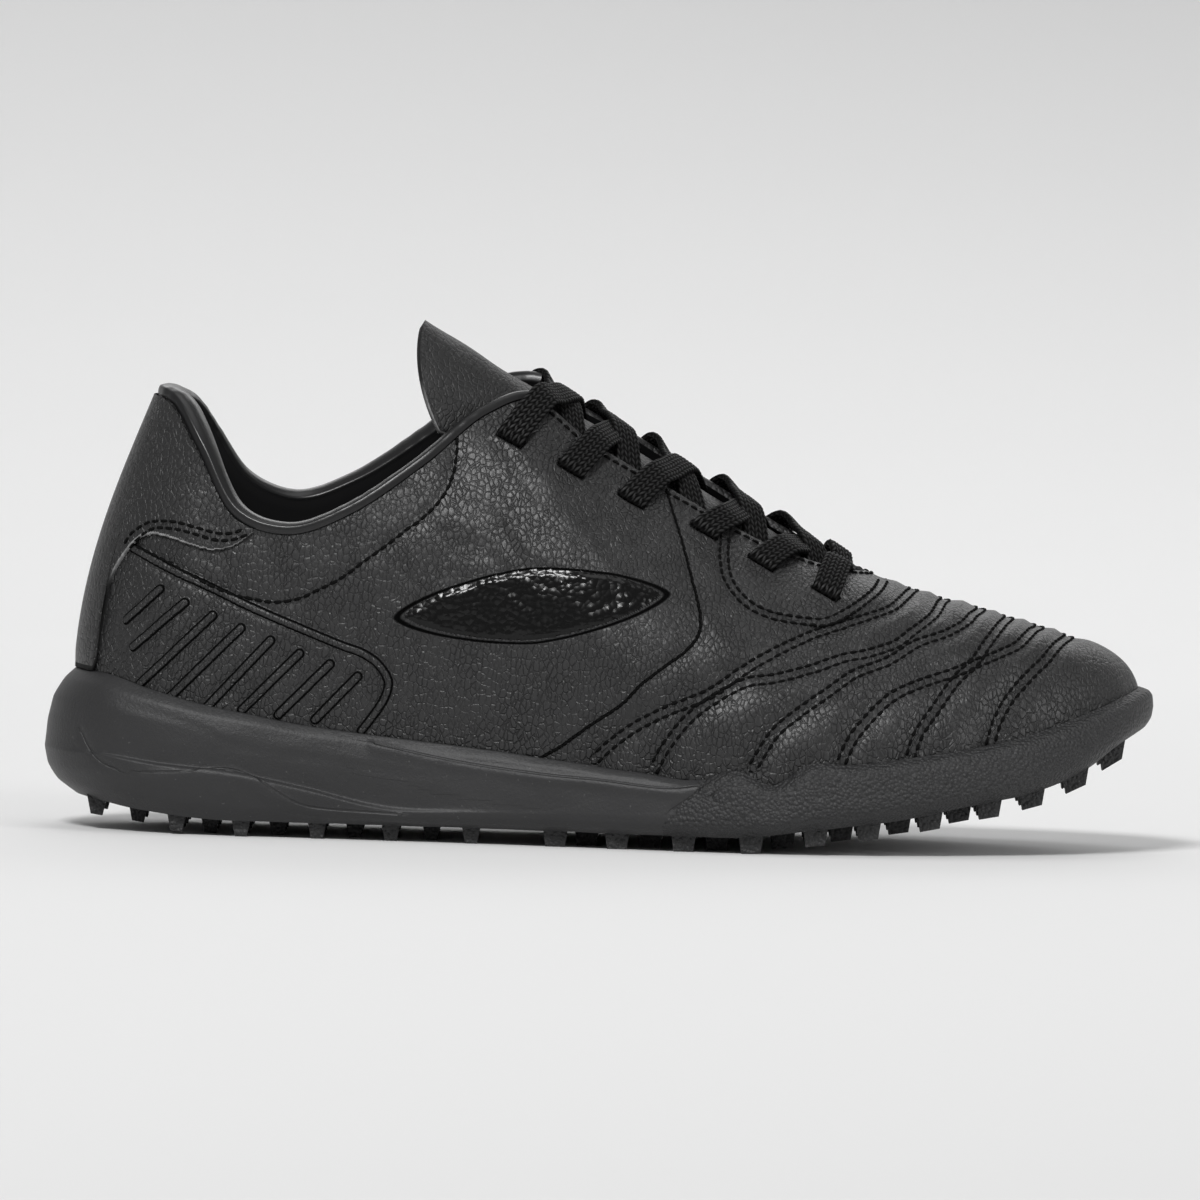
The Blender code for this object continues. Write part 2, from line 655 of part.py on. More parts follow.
def wall_at(s, w):
    return WALL + s["pad"] * smooth(0.25, 0.85, w)


def upper_levels(s, above, cup_steps):
    """Levels of the upper's rows: the cup's own levels first, then even steps to the edge."""
    rim = s["rim_level"]
    levels = [rim * k / cup_steps for k in range(cup_steps + 1)]
    levels += [rim + (1.0 - rim) * k / above for k in range(1, above + 1)]
    return levels


def make_upper(s):
    outside = [side_curve(s, w) for w in upper_levels(s, 8, 2)]
    inside = [offset_side(s, w, -wall_at(s, w)) for w in upper_levels(s, 5, 1)]
    inside[0][:, 2] = s["base"][:, 2]
    mesh = rings_to_mesh("upper", outside + inside[::-1], False)
    return add_object("upper", mesh, "leather")


def make_insole(s):
    level = level_of(s, s["bed"] + GAP + INSOLE_THICKNESS)
    room = WALL + INSOLE_PLAY
    low = s["base"] - flat(s["out"]) * room
    low[:, 2] = s["bed"] + GAP
    high = offset_side(s, level, -np.full(len(level), room))
    high[:, 2] = s["bed"] + GAP + INSOLE_THICKNESS
    rings = [low, high]
    return add_object("insole", rings_to_mesh("insole", rings, True), "lining")


def collar_stations(s, last_row):
    reach = last_row * STATION_STEPS
    return np.arange(-reach, reach + 1) % len(s["x"])


def open_strip_mesh(name, rows):
    """Closed solid from rows of section points, with a flat cap at each end."""
    count = len(rows[0])
    verts = np.concatenate(rows)
    faces = []
    for r in range(len(rows) - 1):
        a = r * count
        b = a + count
        for i in range(count):
            j = (i + 1) % count
            faces += split_quad(verts, (a + i, a + j, b + j, b + i))
    faces.append(tuple(range(count - 1, -1, -1)))
    faces.append(tuple((len(rows) - 1) * count + i for i in range(count)))
    return solid_mesh(name, verts, faces)


def make_binding(s):
    """Padded roll round the ankle opening, seated on the upper's top edge."""
    one = np.ones(len(s["x"]))
    outer = side_curve(s, one)
    inner = offset_side(s, one, -wall_at(s, one))
    run = np.roll(outer, -1, 0) - np.roll(outer, 1, 0)
    away = np.cross(run, outer - inner)
    away /= -np.linalg.norm(away, axis=1)[:, None]
    rows = []
    for i in collar_stations(s, BINDING_LAST_ROW):
        across = inner[i] - outer[i]
        inward = across / np.linalg.norm(across)
        row = []
        for share, proud, lift in BINDING_SECTION:
            place = outer[i] + across * share + inward * proud * BINDING_PROUD
            row.append(place + away[i] * (GAP + lift * BINDING_HEIGHT))
        rows.append(np.array(row))
    return add_object("collar_binding", open_strip_mesh("collar_binding", rows), "lining")


def make_counter(s):
    """Leather patch round the heel, cut from the upper's own form."""
    stations = collar_stations(s, COUNTER_LAST_ROW)
    levels = upper_levels(s, 8, 2)[2:]
    lifted = level_of(s, s["rim"] + GAP)
    levels = [np.maximum(level, lifted) for level in levels]
    near = [offset_side(s, w, np.full(len(w), GAP))[stations] for w in levels]
    far = [offset_side(s, w, np.full(len(w), GAP + COUNTER_THICKNESS))[stations] for w in levels]
    section = near + far[::-1]
    rows = [np.array([ring[k] for ring in section]) for k in range(len(stations))]
    counter = add_object("heel_counter", open_strip_mesh("heel_counter", rows), "leather")
    outline = [(along_x(x), HEEL_HEIGHT * z) for x, z in COUNTER_EDGE]
    outline.append((outline[-1][0], HEEL_HEIGHT * 1.5))
    outline.append((along_x(-0.1), HEEL_HEIGHT * 1.5))
    outline.append((along_x(-0.1), outline[0][1]))
    half_width = BALL_WIDTH
    verts = [(x, y, z) for y in (-half_width, half_width) for x, z in outline]
    count = len(outline)
    faces = [tuple(range(count)), tuple(range(2 * count - 1, count - 1, -1))]
    faces += [(i, (i + 1) % count, count + (i + 1) % count, count + i) for i in range(count)]
    combine(counter, add_tool("counter_outline", solid_mesh("counter_outline", verts, faces)), "INTERSECT")
    return counter


def tongue_rows():
    table = columns(TONGUE_COLUMNS, TONGUE_SECTIONS)
    angles = np.linspace(-TONGUE_SWEEP, TONGUE_SWEEP, TONGUE_STEPS + 1)
    rows = []
    for k in range(len(table["along"])):
        side = np.sin(angles) * table["half"][k] * THROAT_WIDTH
        fall = (1.0 - np.cos(angles)) * table["drop"][k] * INSTEP_HEIGHT
        x = along_x(table["along"][k] + table["rear"][k] * (np.abs(angles) / TONGUE_SWEEP) ** 2)
        y = side_shift() + table["centre"][k] * THROAT_WIDTH + side
        z = table["crest"][k] * INSTEP_HEIGHT - fall + side * math.tan(math.radians(table["tilt"][k]))
        rows.append(np.stack([x, y, z], 1))
    return np.array(rows)


def surface_normals(grid):
    along = np.gradient(grid, axis=0)
    across = np.gradient(grid, axis=1)
    normal = np.cross(across, along)
    normal /= np.linalg.norm(normal, axis=2)[:, :, None]
    return normal * np.sign(normal[:, :, 2:3].mean())


def make_tongue():
    top = tongue_rows()
    under = top - surface_normals(top) * TONGUE_THICKNESS
    rows = [np.concatenate([upper_row, lower_row[::-1]]) for upper_row, lower_row in zip(top, under)]
    return add_object("tongue", open_strip_mesh("tongue", rows), "leather")


def side_stations(s, side):
    """Stations from heel to toe along one side of the shoe."""
    count = len(s["x"])
    half = count // 2
    return np.arange(0, half + 1) if side < 0 else np.arange(count, half - 1, -1) % count


def seen_from_side(s, side, x, z):
    """Place and normal on the upper's outside that lie behind a point of the side view."""
    stations = side_stations(s, side)
    levels = np.linspace(0.0, 1.0, 25)
    grid = np.array([side_curve(s, np.full(len(s["x"]), w))[stations] for w in levels])
    lean = np.array([side_normal(s, np.full(len(s["x"]), w))[stations] for w in levels])
    for a in range(len(levels) - 2, -1, -1):
        for b in range(len(stations) - 1):
            for corners in (((a, b), (a, b + 1), (a + 1, b)), ((a + 1, b + 1), (a + 1, b), (a, b + 1))):
                p, q, r = (grid[corner] for corner in corners)
                area = (q[0] - p[0]) * (r[2] - p[2]) - (r[0] - p[0]) * (q[2] - p[2])
                if abs(area) < 1e-12:
                    continue
                u = ((x - p[0]) * (r[2] - p[2]) - (r[0] - p[0]) * (z - p[2])) / area
                v = ((q[0] - p[0]) * (z - p[2]) - (x - p[0]) * (q[2] - p[2])) / area
                if u >= -1e-9 and v >= -1e-9 and u + v <= 1.0 + 1e-9:
                    shares = (1.0 - u - v, u, v)
                    place = sum(share * grid[corner] for share, corner in zip(shares, corners))
                    normal = sum(share * lean[corner] for share, corner in zip(shares, corners))
                    return place, normal / np.linalg.norm(normal)
    raise ValueError("no point of the upper there")


def throat_edge(s, side, x):
    """Point of the throat's edge at a place along the shoe, with the upper's normal there."""
    stations = side_stations(s, side)
    one = np.ones(len(s["x"]))
    normals = side_normal(s, one)[stations]
    places = s["edge"][stations]
    point = np.array([np.interp(x, places[:, 0], places[:, k]) for k in range(3)])
    normal = np.array([np.interp(x, places[:, 0], normals[:, k]) for k in range(3)])
    return point, normal / np.linalg.norm(normal)


def slot_frame(s, side, index):
    """Centre of an eyelet slot, its long way towards the toe, and its outward normal."""
    slots = columns(SLOT_COLUMNS, SLOTS)
    x = along_x(slots["along"][index])
    z = slots["lateral" if side < 0 else "medial"][index] * INSTEP_HEIGHT
    centre, normal = seen_from_side(s, side, x, z)
    reach = SLOT_LENGTH / 2
    ahead, _ = seen_from_side(s, side, x + reach, z - reach * math.tan(SLOT_SLOPE))
    long_way = ahead - centre
    long_way -= normal * long_way.dot(normal)
    return centre, long_way / np.linalg.norm(long_way), normal


def tongue_place(x, y):
    """Point of the tongue's outside above a place of the plan, with its normal."""
    rows = tongue_rows()[::-1]
    normals = surface_normals(rows)
    found = []
    for row, lean in zip(rows, normals):
        z = np.interp(y, row[:, 1], row[:, 2])
        tip = [np.interp(y, row[:, 1], lean[:, k]) for k in range(3)]
        found.append((row[TONGUE_STEPS // 2, 0], z, *tip))
    found = np.array(found)
    z, *normal = (np.interp(x, found[:, 0], found[:, k]) for k in range(1, 5))
    normal = np.array(normal)
    return np.array([x, y, z]), normal / np.linalg.norm(normal)


def box_mesh_data(centre, axes, halves):
    square = ((-1, -1), (1, -1), (1, 1), (-1, 1))
    corners = [(*corner, level) for level in (-1, 1) for corner in square]
    verts = [centre + sum(axes[k] * halves[k] * c[k] for k in range(3)) for c in corners]
    faces = [(0, 3, 2, 1), (4, 5, 6, 7), (0, 1, 5, 4), (1, 2, 6, 5), (2, 3, 7, 6), (3, 0, 4, 7)]
    return verts, faces


def cut_slots(upper, s):
    verts = []
    faces = []
    for side in (-1, 1):
        for index in range(len(SLOTS)):
            centre, long_way, normal = slot_frame(s, side, index)
            axes = (long_way, np.cross(normal, long_way), normal)
            corners, sides = box_mesh_data(centre, axes, (SLOT_LENGTH / 2, SLOT_WIDTH / 2, SLOT_DEPTH))
            faces += [tuple(len(verts) + i for i in face) for face in sides]
            verts += corners
    combine(upper, add_tool("slots", solid_mesh("slots", verts, faces)), "DIFFERENCE")


def crest_y():
    """Y of the tongue's crest under the lacing."""
    return side_shift() + columns(TONGUE_COLUMNS, TONGUE_SECTIONS)["centre"][0] * THROAT_WIDTH


def strand_anchors(s, side, own, far):
    """Slot, near edge, tongue's crest and a place by the far edge, each with its normal."""
    centre, slot_way, normal = slot_frame(s, side, own)
    slots = columns(SLOT_COLUMNS, SLOTS)
    start = along_x(slots["along"][own])
    end = along_x(slots["along"][far])
    near = throat_edge(s, side, mix(start, end, NEAR_SHARE))
    crest = tongue_place(mix(start, end, CREST_SHARE), crest_y())
    stop, _ = throat_edge(s, -side, mix(start, end, FAR_SHARE))
    beside = tongue_place(stop[0], stop[1] + side * FAR_ROOM)
    return [(centre, normal), near, crest, beside], slot_way


def bar_anchors(s, side):
    centre, slot_way, normal = slot_frame(s, side, 0)
    near = throat_edge(s, side, centre[0] + BAR_LEAN * BAR_EDGE_SHARE)
    crest = tongue_place(centre[0] + BAR_LEAN, crest_y())
    return [(centre, normal), near, crest], slot_way


def path_point(anchors, place, height):
    """Middle of the lace at a place of its path, and the normal of what it lies on."""
    k = min(int(place), len(anchors) - 2)
    share = place - k
    point, next_point = anchors[k][0], anchors[k + 1][0]
    normal = mix(anchors[k][1], anchors[k + 1][1], share)
    spot = mix(point, next_point, share)
    if k >= 1:
        start_gap = point[2] - tongue_place(point[0], point[1])[0][2]
        end_gap = next_point[2] - tongue_place(next_point[0], next_point[1])[0][2]
        spot, normal_here = tongue_place(spot[0], spot[1])
        spot[2] += mix(start_gap, end_gap, share)
        normal = mix(anchors[k][1], normal_here, share)
    normal = normal / np.linalg.norm(normal)
    return spot + normal * height * LACE_THICKNESS, normal


def band_rows(path, anchors, slot_way, lift):
    """Sections of a flat band laid along a path; lift raises it where it crosses another."""
    centres = []
    normals = []
    for place, height in path:
        rise = lift * max(0.0, 1.0 - abs(place - CREST_PLACE) / CREST_REACH)
        centre, normal = path_point(anchors, place, height + rise)
        centres.append(centre)
        normals.append(normal)
    run = np.gradient(np.array(centres), axis=0)
    run /= np.linalg.norm(run, axis=1)[:, None]
    rows = []
    for k, centre in enumerate(centres):
        level = np.cross(normals[k], run[k])
        level *= math.copysign(1.0, level.dot(slot_way))
        wide = mix(slot_way, level, min(1.0, k / TURN_STEPS))
        wide -= run[k] * wide.dot(run[k])
        wide /= np.linalg.norm(wide)
        thick = np.cross(run[k], wide) * LACE_THICKNESS / 2
        wide = wide * LACE_WIDTH / 2
        under = (centre - wide - thick, centre + wide - thick)
        over = (centre + wide + thick, centre - wide + thick)
        rows.append(np.array([*under, *over]))
    return rows


def make_laces(s):
    """Five crossings, each one solid, and the straight bar by the toe."""
    for own in range(1, len(SLOTS)):
        name = f"lace_crossing_{own}"
        top_side = -1
        strands = []
        for side in (top_side, -top_side):
            anchors, slot_way = strand_anchors(s, side, own, own - 1)
            lift = CROSSING_LIFT if side == top_side else 0.0
            rows = band_rows(STRAND_PATH, anchors, slot_way, lift)
            strands.append(open_strip_mesh(f"{name}_{len(strands)}", rows))
        crossing = add_object(name, strands[0], "cord")
        combine(crossing, add_tool(name + "_under", strands[1]), "UNION")
    outer = band_rows(BAR_PATH, *bar_anchors(s, -1), 0.0)
    inner = band_rows(BAR_PATH, *bar_anchors(s, 1), 0.0)
    far_half = [row[::-1] for row in inner[-2::-1]]
    add_object("lace_bar", open_strip_mesh("lace_bar", outer + far_half), "cord")


def main():
    clear_scene()
    s = shoe_sections(STATION_STEPS)
    make_outsole(s)
    midsole = make_midsole(s)
    fit_midsole_to_outsole(midsole, s)
    upper = make_upper(s)
    cut_slots(upper, s)
    make_insole(s)
    make_binding(s)
    make_counter(s)
    make_tongue()
    make_laces(s)


main()
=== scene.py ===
# Looks of the black turf shoe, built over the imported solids
# X runs from heel to toe, -Y is the outer side, Z is up, metres. Places on the photographed side
# are pixels of the 1200 x 1200 picture, cast onto the shoe through the camera.

import math

import bpy
import numpy as np
from mathutils import Matrix, Vector
from mathutils.bvhtree import BVHTree


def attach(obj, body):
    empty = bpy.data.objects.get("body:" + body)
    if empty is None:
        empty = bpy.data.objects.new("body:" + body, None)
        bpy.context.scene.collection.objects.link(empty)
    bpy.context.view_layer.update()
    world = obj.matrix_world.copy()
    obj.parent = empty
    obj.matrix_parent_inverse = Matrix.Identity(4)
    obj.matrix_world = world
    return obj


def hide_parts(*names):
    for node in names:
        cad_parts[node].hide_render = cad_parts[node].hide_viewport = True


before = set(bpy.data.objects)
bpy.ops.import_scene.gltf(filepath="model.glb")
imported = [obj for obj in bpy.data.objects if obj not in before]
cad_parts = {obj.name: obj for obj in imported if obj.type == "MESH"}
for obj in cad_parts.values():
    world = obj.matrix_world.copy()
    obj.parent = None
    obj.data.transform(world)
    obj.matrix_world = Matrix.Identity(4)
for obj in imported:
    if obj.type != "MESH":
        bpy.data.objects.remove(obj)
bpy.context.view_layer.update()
mm = 0.001

# Driving sizes, the same as the solids'
shoeLength = 0.2876
ballWidth = 0.1000
heelWidth = 0.0700
soleFlare = 0.0090
lugHeight = 0.0042
plateThickness = 0.0025
midsoleHeel = 0.0140
cupHeight = 0.0190
toeSpring = 0.0265
heelBevel = 0.0045
edgeUnder = 0.0042
heelUnder = 0.0085
waveStep = 0.0012
rimLip = 0.0008
heelHeight = 0.1125
instepHeight = 0.1134
wall = 0.0020
collarPad = 0.0040
throatWidth = 0.0325
gap = 0.0003

# The solids' own tables, from heel to toe: shares of the sizes above, crowns and leans in degrees
soleColumns = (
    "along", "lateral", "medial", "ball", "flare", "spring", "foam", "cup", "wave", "step", "under",
)
soleRows = (
    (0.000, 0.000, 0.000, 0.00, 1.00, 1.000, 0.770, 1.000, 0.36, 0.0, 1.0),
    (0.014, 0.214, 0.214, 0.00, 0.97, 0.950, 0.780, 0.990, 0.36, 0.0, 0.9),
    (0.049, 0.379, 0.371, 0.00, 0.85, 0.730, 0.820, 0.970, 0.38, 0.4, 0.5),
    (0.104, 0.479, 0.464, 0.00, 0.66, 0.290, 0.930, 0.790, 0.40, 1.0, 0.2),
    (0.167, 0.514, 0.486, 0.00, 0.55, 0.000, 1.000, 0.610, 0.42, 1.0, 0.0),
    (0.236, 0.521, 0.471, 0.00, 0.50, 0.000, 0.930, 0.490, 0.34, 1.0, 0.0),
    (0.313, 0.503, 0.409, 0.15, 0.47, 0.000, 0.810, 0.450, 0.18, 0.7, 0.0),
    (0.389, 0.497, 0.354, 0.35, 0.45, 0.000, 0.660, 0.450, 0.20, 0.2, 0.0),
    (0.466, 0.503, 0.341, 0.55, 0.45, 0.000, 0.540, 0.410, 0.25, 0.0, 0.0),
    (0.535, 0.514, 0.362, 0.75, 0.45, 0.000, 0.410, 0.385, 0.30, 0.0, 0.0),
    (0.591, 0.521, 0.402, 0.90, 0.47, 0.000, 0.365, 0.360, 0.32, 0.0, 0.0),
    (0.622, 0.518, 0.420, 1.00, 0.50, 0.000, 0.350, 0.500, 0.34, 0.0, 0.0),
    (0.654, 0.525, 0.445, 1.00, 0.50, 0.034, 0.330, 0.280, 0.35, 0.0, 0.0),
    (0.688, 0.525, 0.468, 1.00, 0.50, 0.083, 0.315, 0.510, 0.35, 0.0, 0.0),
    (0.730, 0.510, 0.485, 1.00, 0.50, 0.140, 0.310, 0.453, 0.36, 0.0, 0.0),
    (0.779, 0.480, 0.485, 1.00, 0.50, 0.215, 0.310, 0.442, 0.38, 0.0, 0.0),
    (0.834, 0.428, 0.457, 1.00, 0.50, 0.340, 0.310, 0.400, 0.40, 0.0, 0.0),
    (0.894, 0.350, 0.408, 1.00, 0.48, 0.475, 0.315, 0.410, 0.45, 0.0, 0.0),
    (0.942, 0.255, 0.335, 1.00, 0.45, 0.665, 0.300, 0.405, 0.50, 0.0, 0.1),
    (0.979, 0.130, 0.235, 1.00, 0.42, 0.900, 0.200, 0.375, 0.55, 0.0, 0.2),
    (1.000, -0.055, 0.055, 1.00, 0.40, 1.000, 0.165, 0.390, 0.58, 0.0, 0.2),
)

topColumns = (
    "topAlong", "topLateral", "topMedial", "highLateral", "highMedial",
    "lean", "low", "high", "crownLateral", "crownMedial", "pad", "throat",
)
topRows = (
    (0.0949, 0.000, 0.000, 1.000, 1.000, 7.0, 0.40, 0.28, 21, 21, 1.0, 0),
    (0.0991, 0.246, 0.246, 0.998, 0.999, 7.0, 0.40, 0.28, 20, 20, 1.0, 0),
    (0.1130, 0.446, 0.446, 0.973, 0.978, 7.0, 0.39, 0.28, 16, 16, 1.0, 0),
    (0.1342, 0.677, 0.646, 0.880, 0.907, 7.0, 0.37, 0.30, 12, 12, 1.0, 0),
    (0.1652, 0.846, 0.800, 0.738, 0.804, 7.0, 0.35, 0.33, 8, 8, 1.0, 0),
    (0.2156, 0.954, 0.892, 0.692, 0.754, 7.0, 0.35, 0.35, 8, 8, 1.0, 0),
    (0.2747, 0.985, 0.908, 0.745, 0.804, 7.0, 0.35, 0.33, 12, 10, 1.0, 0),
    (0.3373, 0.877, 0.862, 0.858, 0.916, 7.0, 0.35, 0.31, 22, 18, 0.9, 0),
    (0.3929, 0.646, 0.738, 0.970, 1.018, 7.0, 0.35, 0.30, 35, 28, 0.5, 1),
    (0.4398, 0.477, 0.615, 0.999, 1.038, 7.0, 0.34, 0.30, 45, 35, 0.15, 1),
    (0.4868, 0.437, 0.569, 0.911, 0.974, 7.5, 0.33, 0.32, 47, 36, 0.0, 1),
    (0.5250, 0.418, 0.545, 0.855, 0.926, 8.0, 0.32, 0.33, 48, 38, 0.0, 1),
    (0.5633, 0.400, 0.523, 0.802, 0.869, 8.0, 0.32, 0.35, 50, 42, 0.0, 1),
    (0.6033, 0.378, 0.492, 0.745, 0.811, 8.0, 0.31, 0.38, 53, 47, 0.0, 1),
    (0.6433, 0.348, 0.449, 0.693, 0.750, 8.0, 0.30, 0.42, 57, 53, 0.0, 1),
    (0.6798, 0.295, 0.385, 0.659, 0.700, 7.5, 0.28, 0.48, 63, 61, 0.0, 1),
    (0.7076, 0.209, 0.292, 0.640, 0.662, 7.0, 0.27, 0.55, 67, 67, 0.0, 1),
    (0.7250, 0.105, 0.209, 0.633, 0.643, 6.0, 0.26, 0.62, 71, 71, 0.0, 1),
    (0.7323, 0.009, 0.142, 0.631, 0.636, 5.5, 0.26, 0.66, 73, 73, 0.0, 1),
    (0.7350, -0.037, 0.098, 0.631, 0.632, 5.0, 0.26, 0.69, 74, 74, 0.0, 1),
    (0.7357, -0.068, 0.068, 0.631, 0.631, 5.0, 0.26, 0.70, 74, 74, 0.0, 1),
)

sideCurveRows = ((0.35, 0.08, 0.03), (0.64, 0.26, 0.10), (0.87, 0.62, 0.40), (1.00, 1.00, 1.00))

tongueColumns = ("along", "crest", "centre", "half", "drop", "tilt", "rear")
tongueRows = (
    (0.766, 0.569, 0.08, 0.38, 0.045, 5, 0.000),
    (0.735, 0.592, 0.08, 0.48, 0.085, 7, 0.000),
    (0.700, 0.638, 0.08, 0.56, 0.135, 9, 0.000),
    (0.650, 0.713, 0.08, 0.63, 0.205, 12, 0.000),
    (0.600, 0.783, 0.08, 0.67, 0.255, 12, 0.000),
    (0.550, 0.855, 0.08, 0.69, 0.275, 11, 0.000),
    (0.500, 0.929, 0.07, 0.70, 0.290, 9, 0.000),
    (0.450, 1.002, 0.05, 0.68, 0.290, 6, 0.002),
    (0.413, 1.056, 0.06, 0.58, 0.290, 4, 0.006),
    (0.380, 1.107, 0.05, 0.57, 0.305, 2, 0.012),
    (0.348, 1.156, 0.02, 0.60, 0.345, 0, 0.016),
    (0.333, 1.179, 0.02, 0.62, 0.362, 0, 0.018),
)
tongueSweep = math.radians(72)
tongueThickness = 0.0028


def say(words):
    print("scene:", words, flush=True)


def readTable(names, rows):
    table = np.array(rows, float)
    return {name: table[:, i] for i, name in enumerate(names)}


def mix(low, high, share):
    return low + (high - low) * share


def ease(low, high, value):
    share = np.clip((value - low) / (high - low), 0.0, 1.0)
    return share * share * (3.0 - 2.0 * share)


def bell(distance, width):
    return np.exp(-((distance / width) ** 2))


# Soft curve from a to b that sets out along leave and comes in along arrive
def hermite(a, b, leave, arrive, u):
    return (
        a * (2 * u**3 - 3 * u**2 + 1) + leave * (u**3 - 2 * u**2 + u)
        + b * (3 * u**2 - 2 * u**3) + arrive * (u**3 - u**2)
    )


def unitLong(vectors):
    return vectors / np.linalg.norm(vectors, axis=-1, keepdims=True)


def hopsAlong(line):
    return np.concatenate([[0.0], np.cumsum(np.linalg.norm(np.diff(line, axis=0), axis=1))])


def between(spots, hops, values):
    return np.stack([np.interp(spots, hops, values[:, k]) for k in range(3)], -1)


def alongX(share):
    return (share - 0.5) * shoeLength


sole = readTable(soleColumns, soleRows)
localWidth = mix(heelWidth, ballWidth, sole["ball"])
sideShift = ((sole["lateral"] * localWidth).max() - (sole["medial"] * localWidth).max()) / 2

# Camera first: the photograph's own angle, near level, rolled a little
photoView = {
    "distance": 2.5, "elevation": 2.2, "roll": 1.525, "metresPerPixel": 0.00025973,
    "target": (-0.0008, sideShift, 0.0621), "pixels": 1200, "sensor": 36.0,
}
tilt = math.radians(photoView["elevation"])
roll = math.radians(photoView["roll"])
lookWay = np.array([0.0, math.cos(tilt), -math.sin(tilt)])
rightFlat = np.array([1.0, 0.0, 0.0])
upFlat = np.array([0.0, math.sin(tilt), math.cos(tilt)])
rightWay = rightFlat * math.cos(roll) + upFlat * math.sin(roll)
upWay = upFlat * math.cos(roll) - rightFlat * math.sin(roll)
eye = np.array(photoView["target"]) - lookWay * photoView["distance"]
focalPixels = photoView["distance"] / photoView["metresPerPixel"]

cameraData = bpy.data.cameras.new("photo_camera")
cameraData.sensor_width = photoView["sensor"]
cameraData.lens = focalPixels / photoView["pixels"] * photoView["sensor"]
cameraData.clip_start = 0.1
cameraData.clip_end = 50.0
camera = bpy.data.objects.new("photo_camera", cameraData)
bpy.context.scene.collection.objects.link(camera)
pose = Matrix.Identity(4)
for column, axis in enumerate((rightWay, upWay, -lookWay, eye)):
    for row in range(3):
        pose[row][column] = axis[row]
camera.matrix_world = pose
bpy.context.scene.camera = camera
bpy.context.scene.view_settings.view_transform = "Standard"
say("camera")


def pixelRay(px, py):
    half = photoView["pixels"] / 2
    way = lookWay + rightWay * (px - half) / focalPixels + upWay * (half - py) / focalPixels
    return Vector(eye), Vector(unitLong(way))


# Form of the shoe, from the same tables as the solids
def roundTheShoe(lateral, medial):
    return np.concatenate([lateral, medial[-2:0:-1]])


# Soft closed curve through the rows, with its own number of steps in each span
def closedSpline(values, knots, total, steps):
    before = np.roll(values, 1, 0)
    after = np.roll(values, -1, 0)
    gapAfter = np.diff(np.append(knots, knots[0] + total))
    gapBefore = np.roll(gapAfter, 1)
    weight = (gapAfter / (gapBefore + gapAfter))[:, None]
    slopeBefore = (values - before) / gapBefore[:, None]
    slopeAfter = (after - values) / gapAfter[:, None]
    tangent = slopeBefore * weight + slopeAfter * (1.0 - weight)
    made = []
    for i, count in enumerate(steps):
        j = (i + 1) % len(steps)
        u = np.arange(count)[:, None] / count
        made.append(hermite(values[i], values[j], tangent[i] * gapAfter[i], tangent[j] * gapAfter[i], u))
    return np.concatenate(made)


def flatWay(directions):
    return np.column_stack([directions, np.zeros(len(directions))])


def shoeSections(pitch):
    top = readTable(topColumns, topRows)
    raised = np.where(sole["along"] < 0.5, heelBevel, toeSpring)
    height = np.where(top["throat"] > 0.5, instepHeight, heelHeight)
    pairs = {
        "x": (alongX(sole["along"]),) * 2,
        "y": (sideShift - sole["lateral"] * localWidth, sideShift + sole["medial"] * localWidth),
        "flare": (sole["flare"] * soleFlare,) * 2,
        "floor": (sole["spring"] * raised,) * 2,
        "foam": (sole["foam"] * midsoleHeel,) * 2,
        "cup": (sole["cup"] * cupHeight,) * 2,
        "wave": (sole["wave"],) * 2,
        "step": (sole["step"] * waveStep,) * 2,
        "under": (mix(edgeUnder, heelUnder, sole["under"]),) * 2,
        "topX": (alongX(top["topAlong"]),) * 2,
        "topY": (sideShift - top["topLateral"] * throatWidth, sideShift + top["topMedial"] * throatWidth),
        "topZ": (top["highLateral"] * height, top["highMedial"] * height),
        "lean": (np.radians(top["lean"]),) * 2,
        "low": (top["low"],) * 2,
        "high": (top["high"],) * 2,
        "crown": (np.radians(top["crownLateral"]), np.radians(top["crownMedial"])),
        "pad": (top["pad"] * collarPad,) * 2,
    }
    rows = np.stack([roundTheShoe(*pairs[name]) for name in pairs], 1)
    hops = np.linalg.norm(np.roll(rows[:, :2], -1, 0) - rows[:, :2], axis=1)
    knots = np.concatenate([[0.0], np.cumsum(hops)[:-1]])
    steps = np.maximum(2, np.round(np.maximum(hops, hops[::-1]) / pitch)).astype(int)
    values = closedSpline(rows, knots, hops.sum(), steps)
    s = {name: values[:, i] for i, name in enumerate(pairs)}
    s["rowStart"] = np.concatenate([[0], np.cumsum(steps)])
    s["floor"] = np.maximum(s["floor"], 0.0)
    s["tread"] = s["floor"] + lugHeight
    s["plate"] = s["tread"] + plateThickness
    s["bed"] = s["plate"] + s["foam"]
    s["rim"] = s["bed"] + s["cup"]
    plan = np.stack([s["x"], s["y"]], 1)
    run = np.roll(plan, -1, 0) - np.roll(plan, 1, 0)
    run = unitLong(run)
    s["plan"] = plan
    s["out"] = np.stack([run[:, 1], -run[:, 0]], 1)
    out = flatWay(s["out"])
    s["base"] = np.column_stack([plan - s["out"] * s["flare"][:, None], s["bed"] + gap])
    s["edge"] = np.stack([s["topX"], s["topY"], s["topZ"]], 1)
    chord = np.linalg.norm(s["edge"] - s["base"], axis=1)[:, None]
    up = np.array([0.0, 0.0, 1.0])
    lean = s["lean"][:, None]
    crown = s["crown"][:, None]
    s["rise"] = s["base"] + chord * s["low"][:, None] * (up * np.cos(lean) + out * np.sin(lean))
    s["shoulder"] = s["edge"] - chord * s["high"][:, None] * (up * np.cos(crown) - out * np.sin(crown))
    s["rimLevel"] = levelOf(s, s["rim"])
    return s


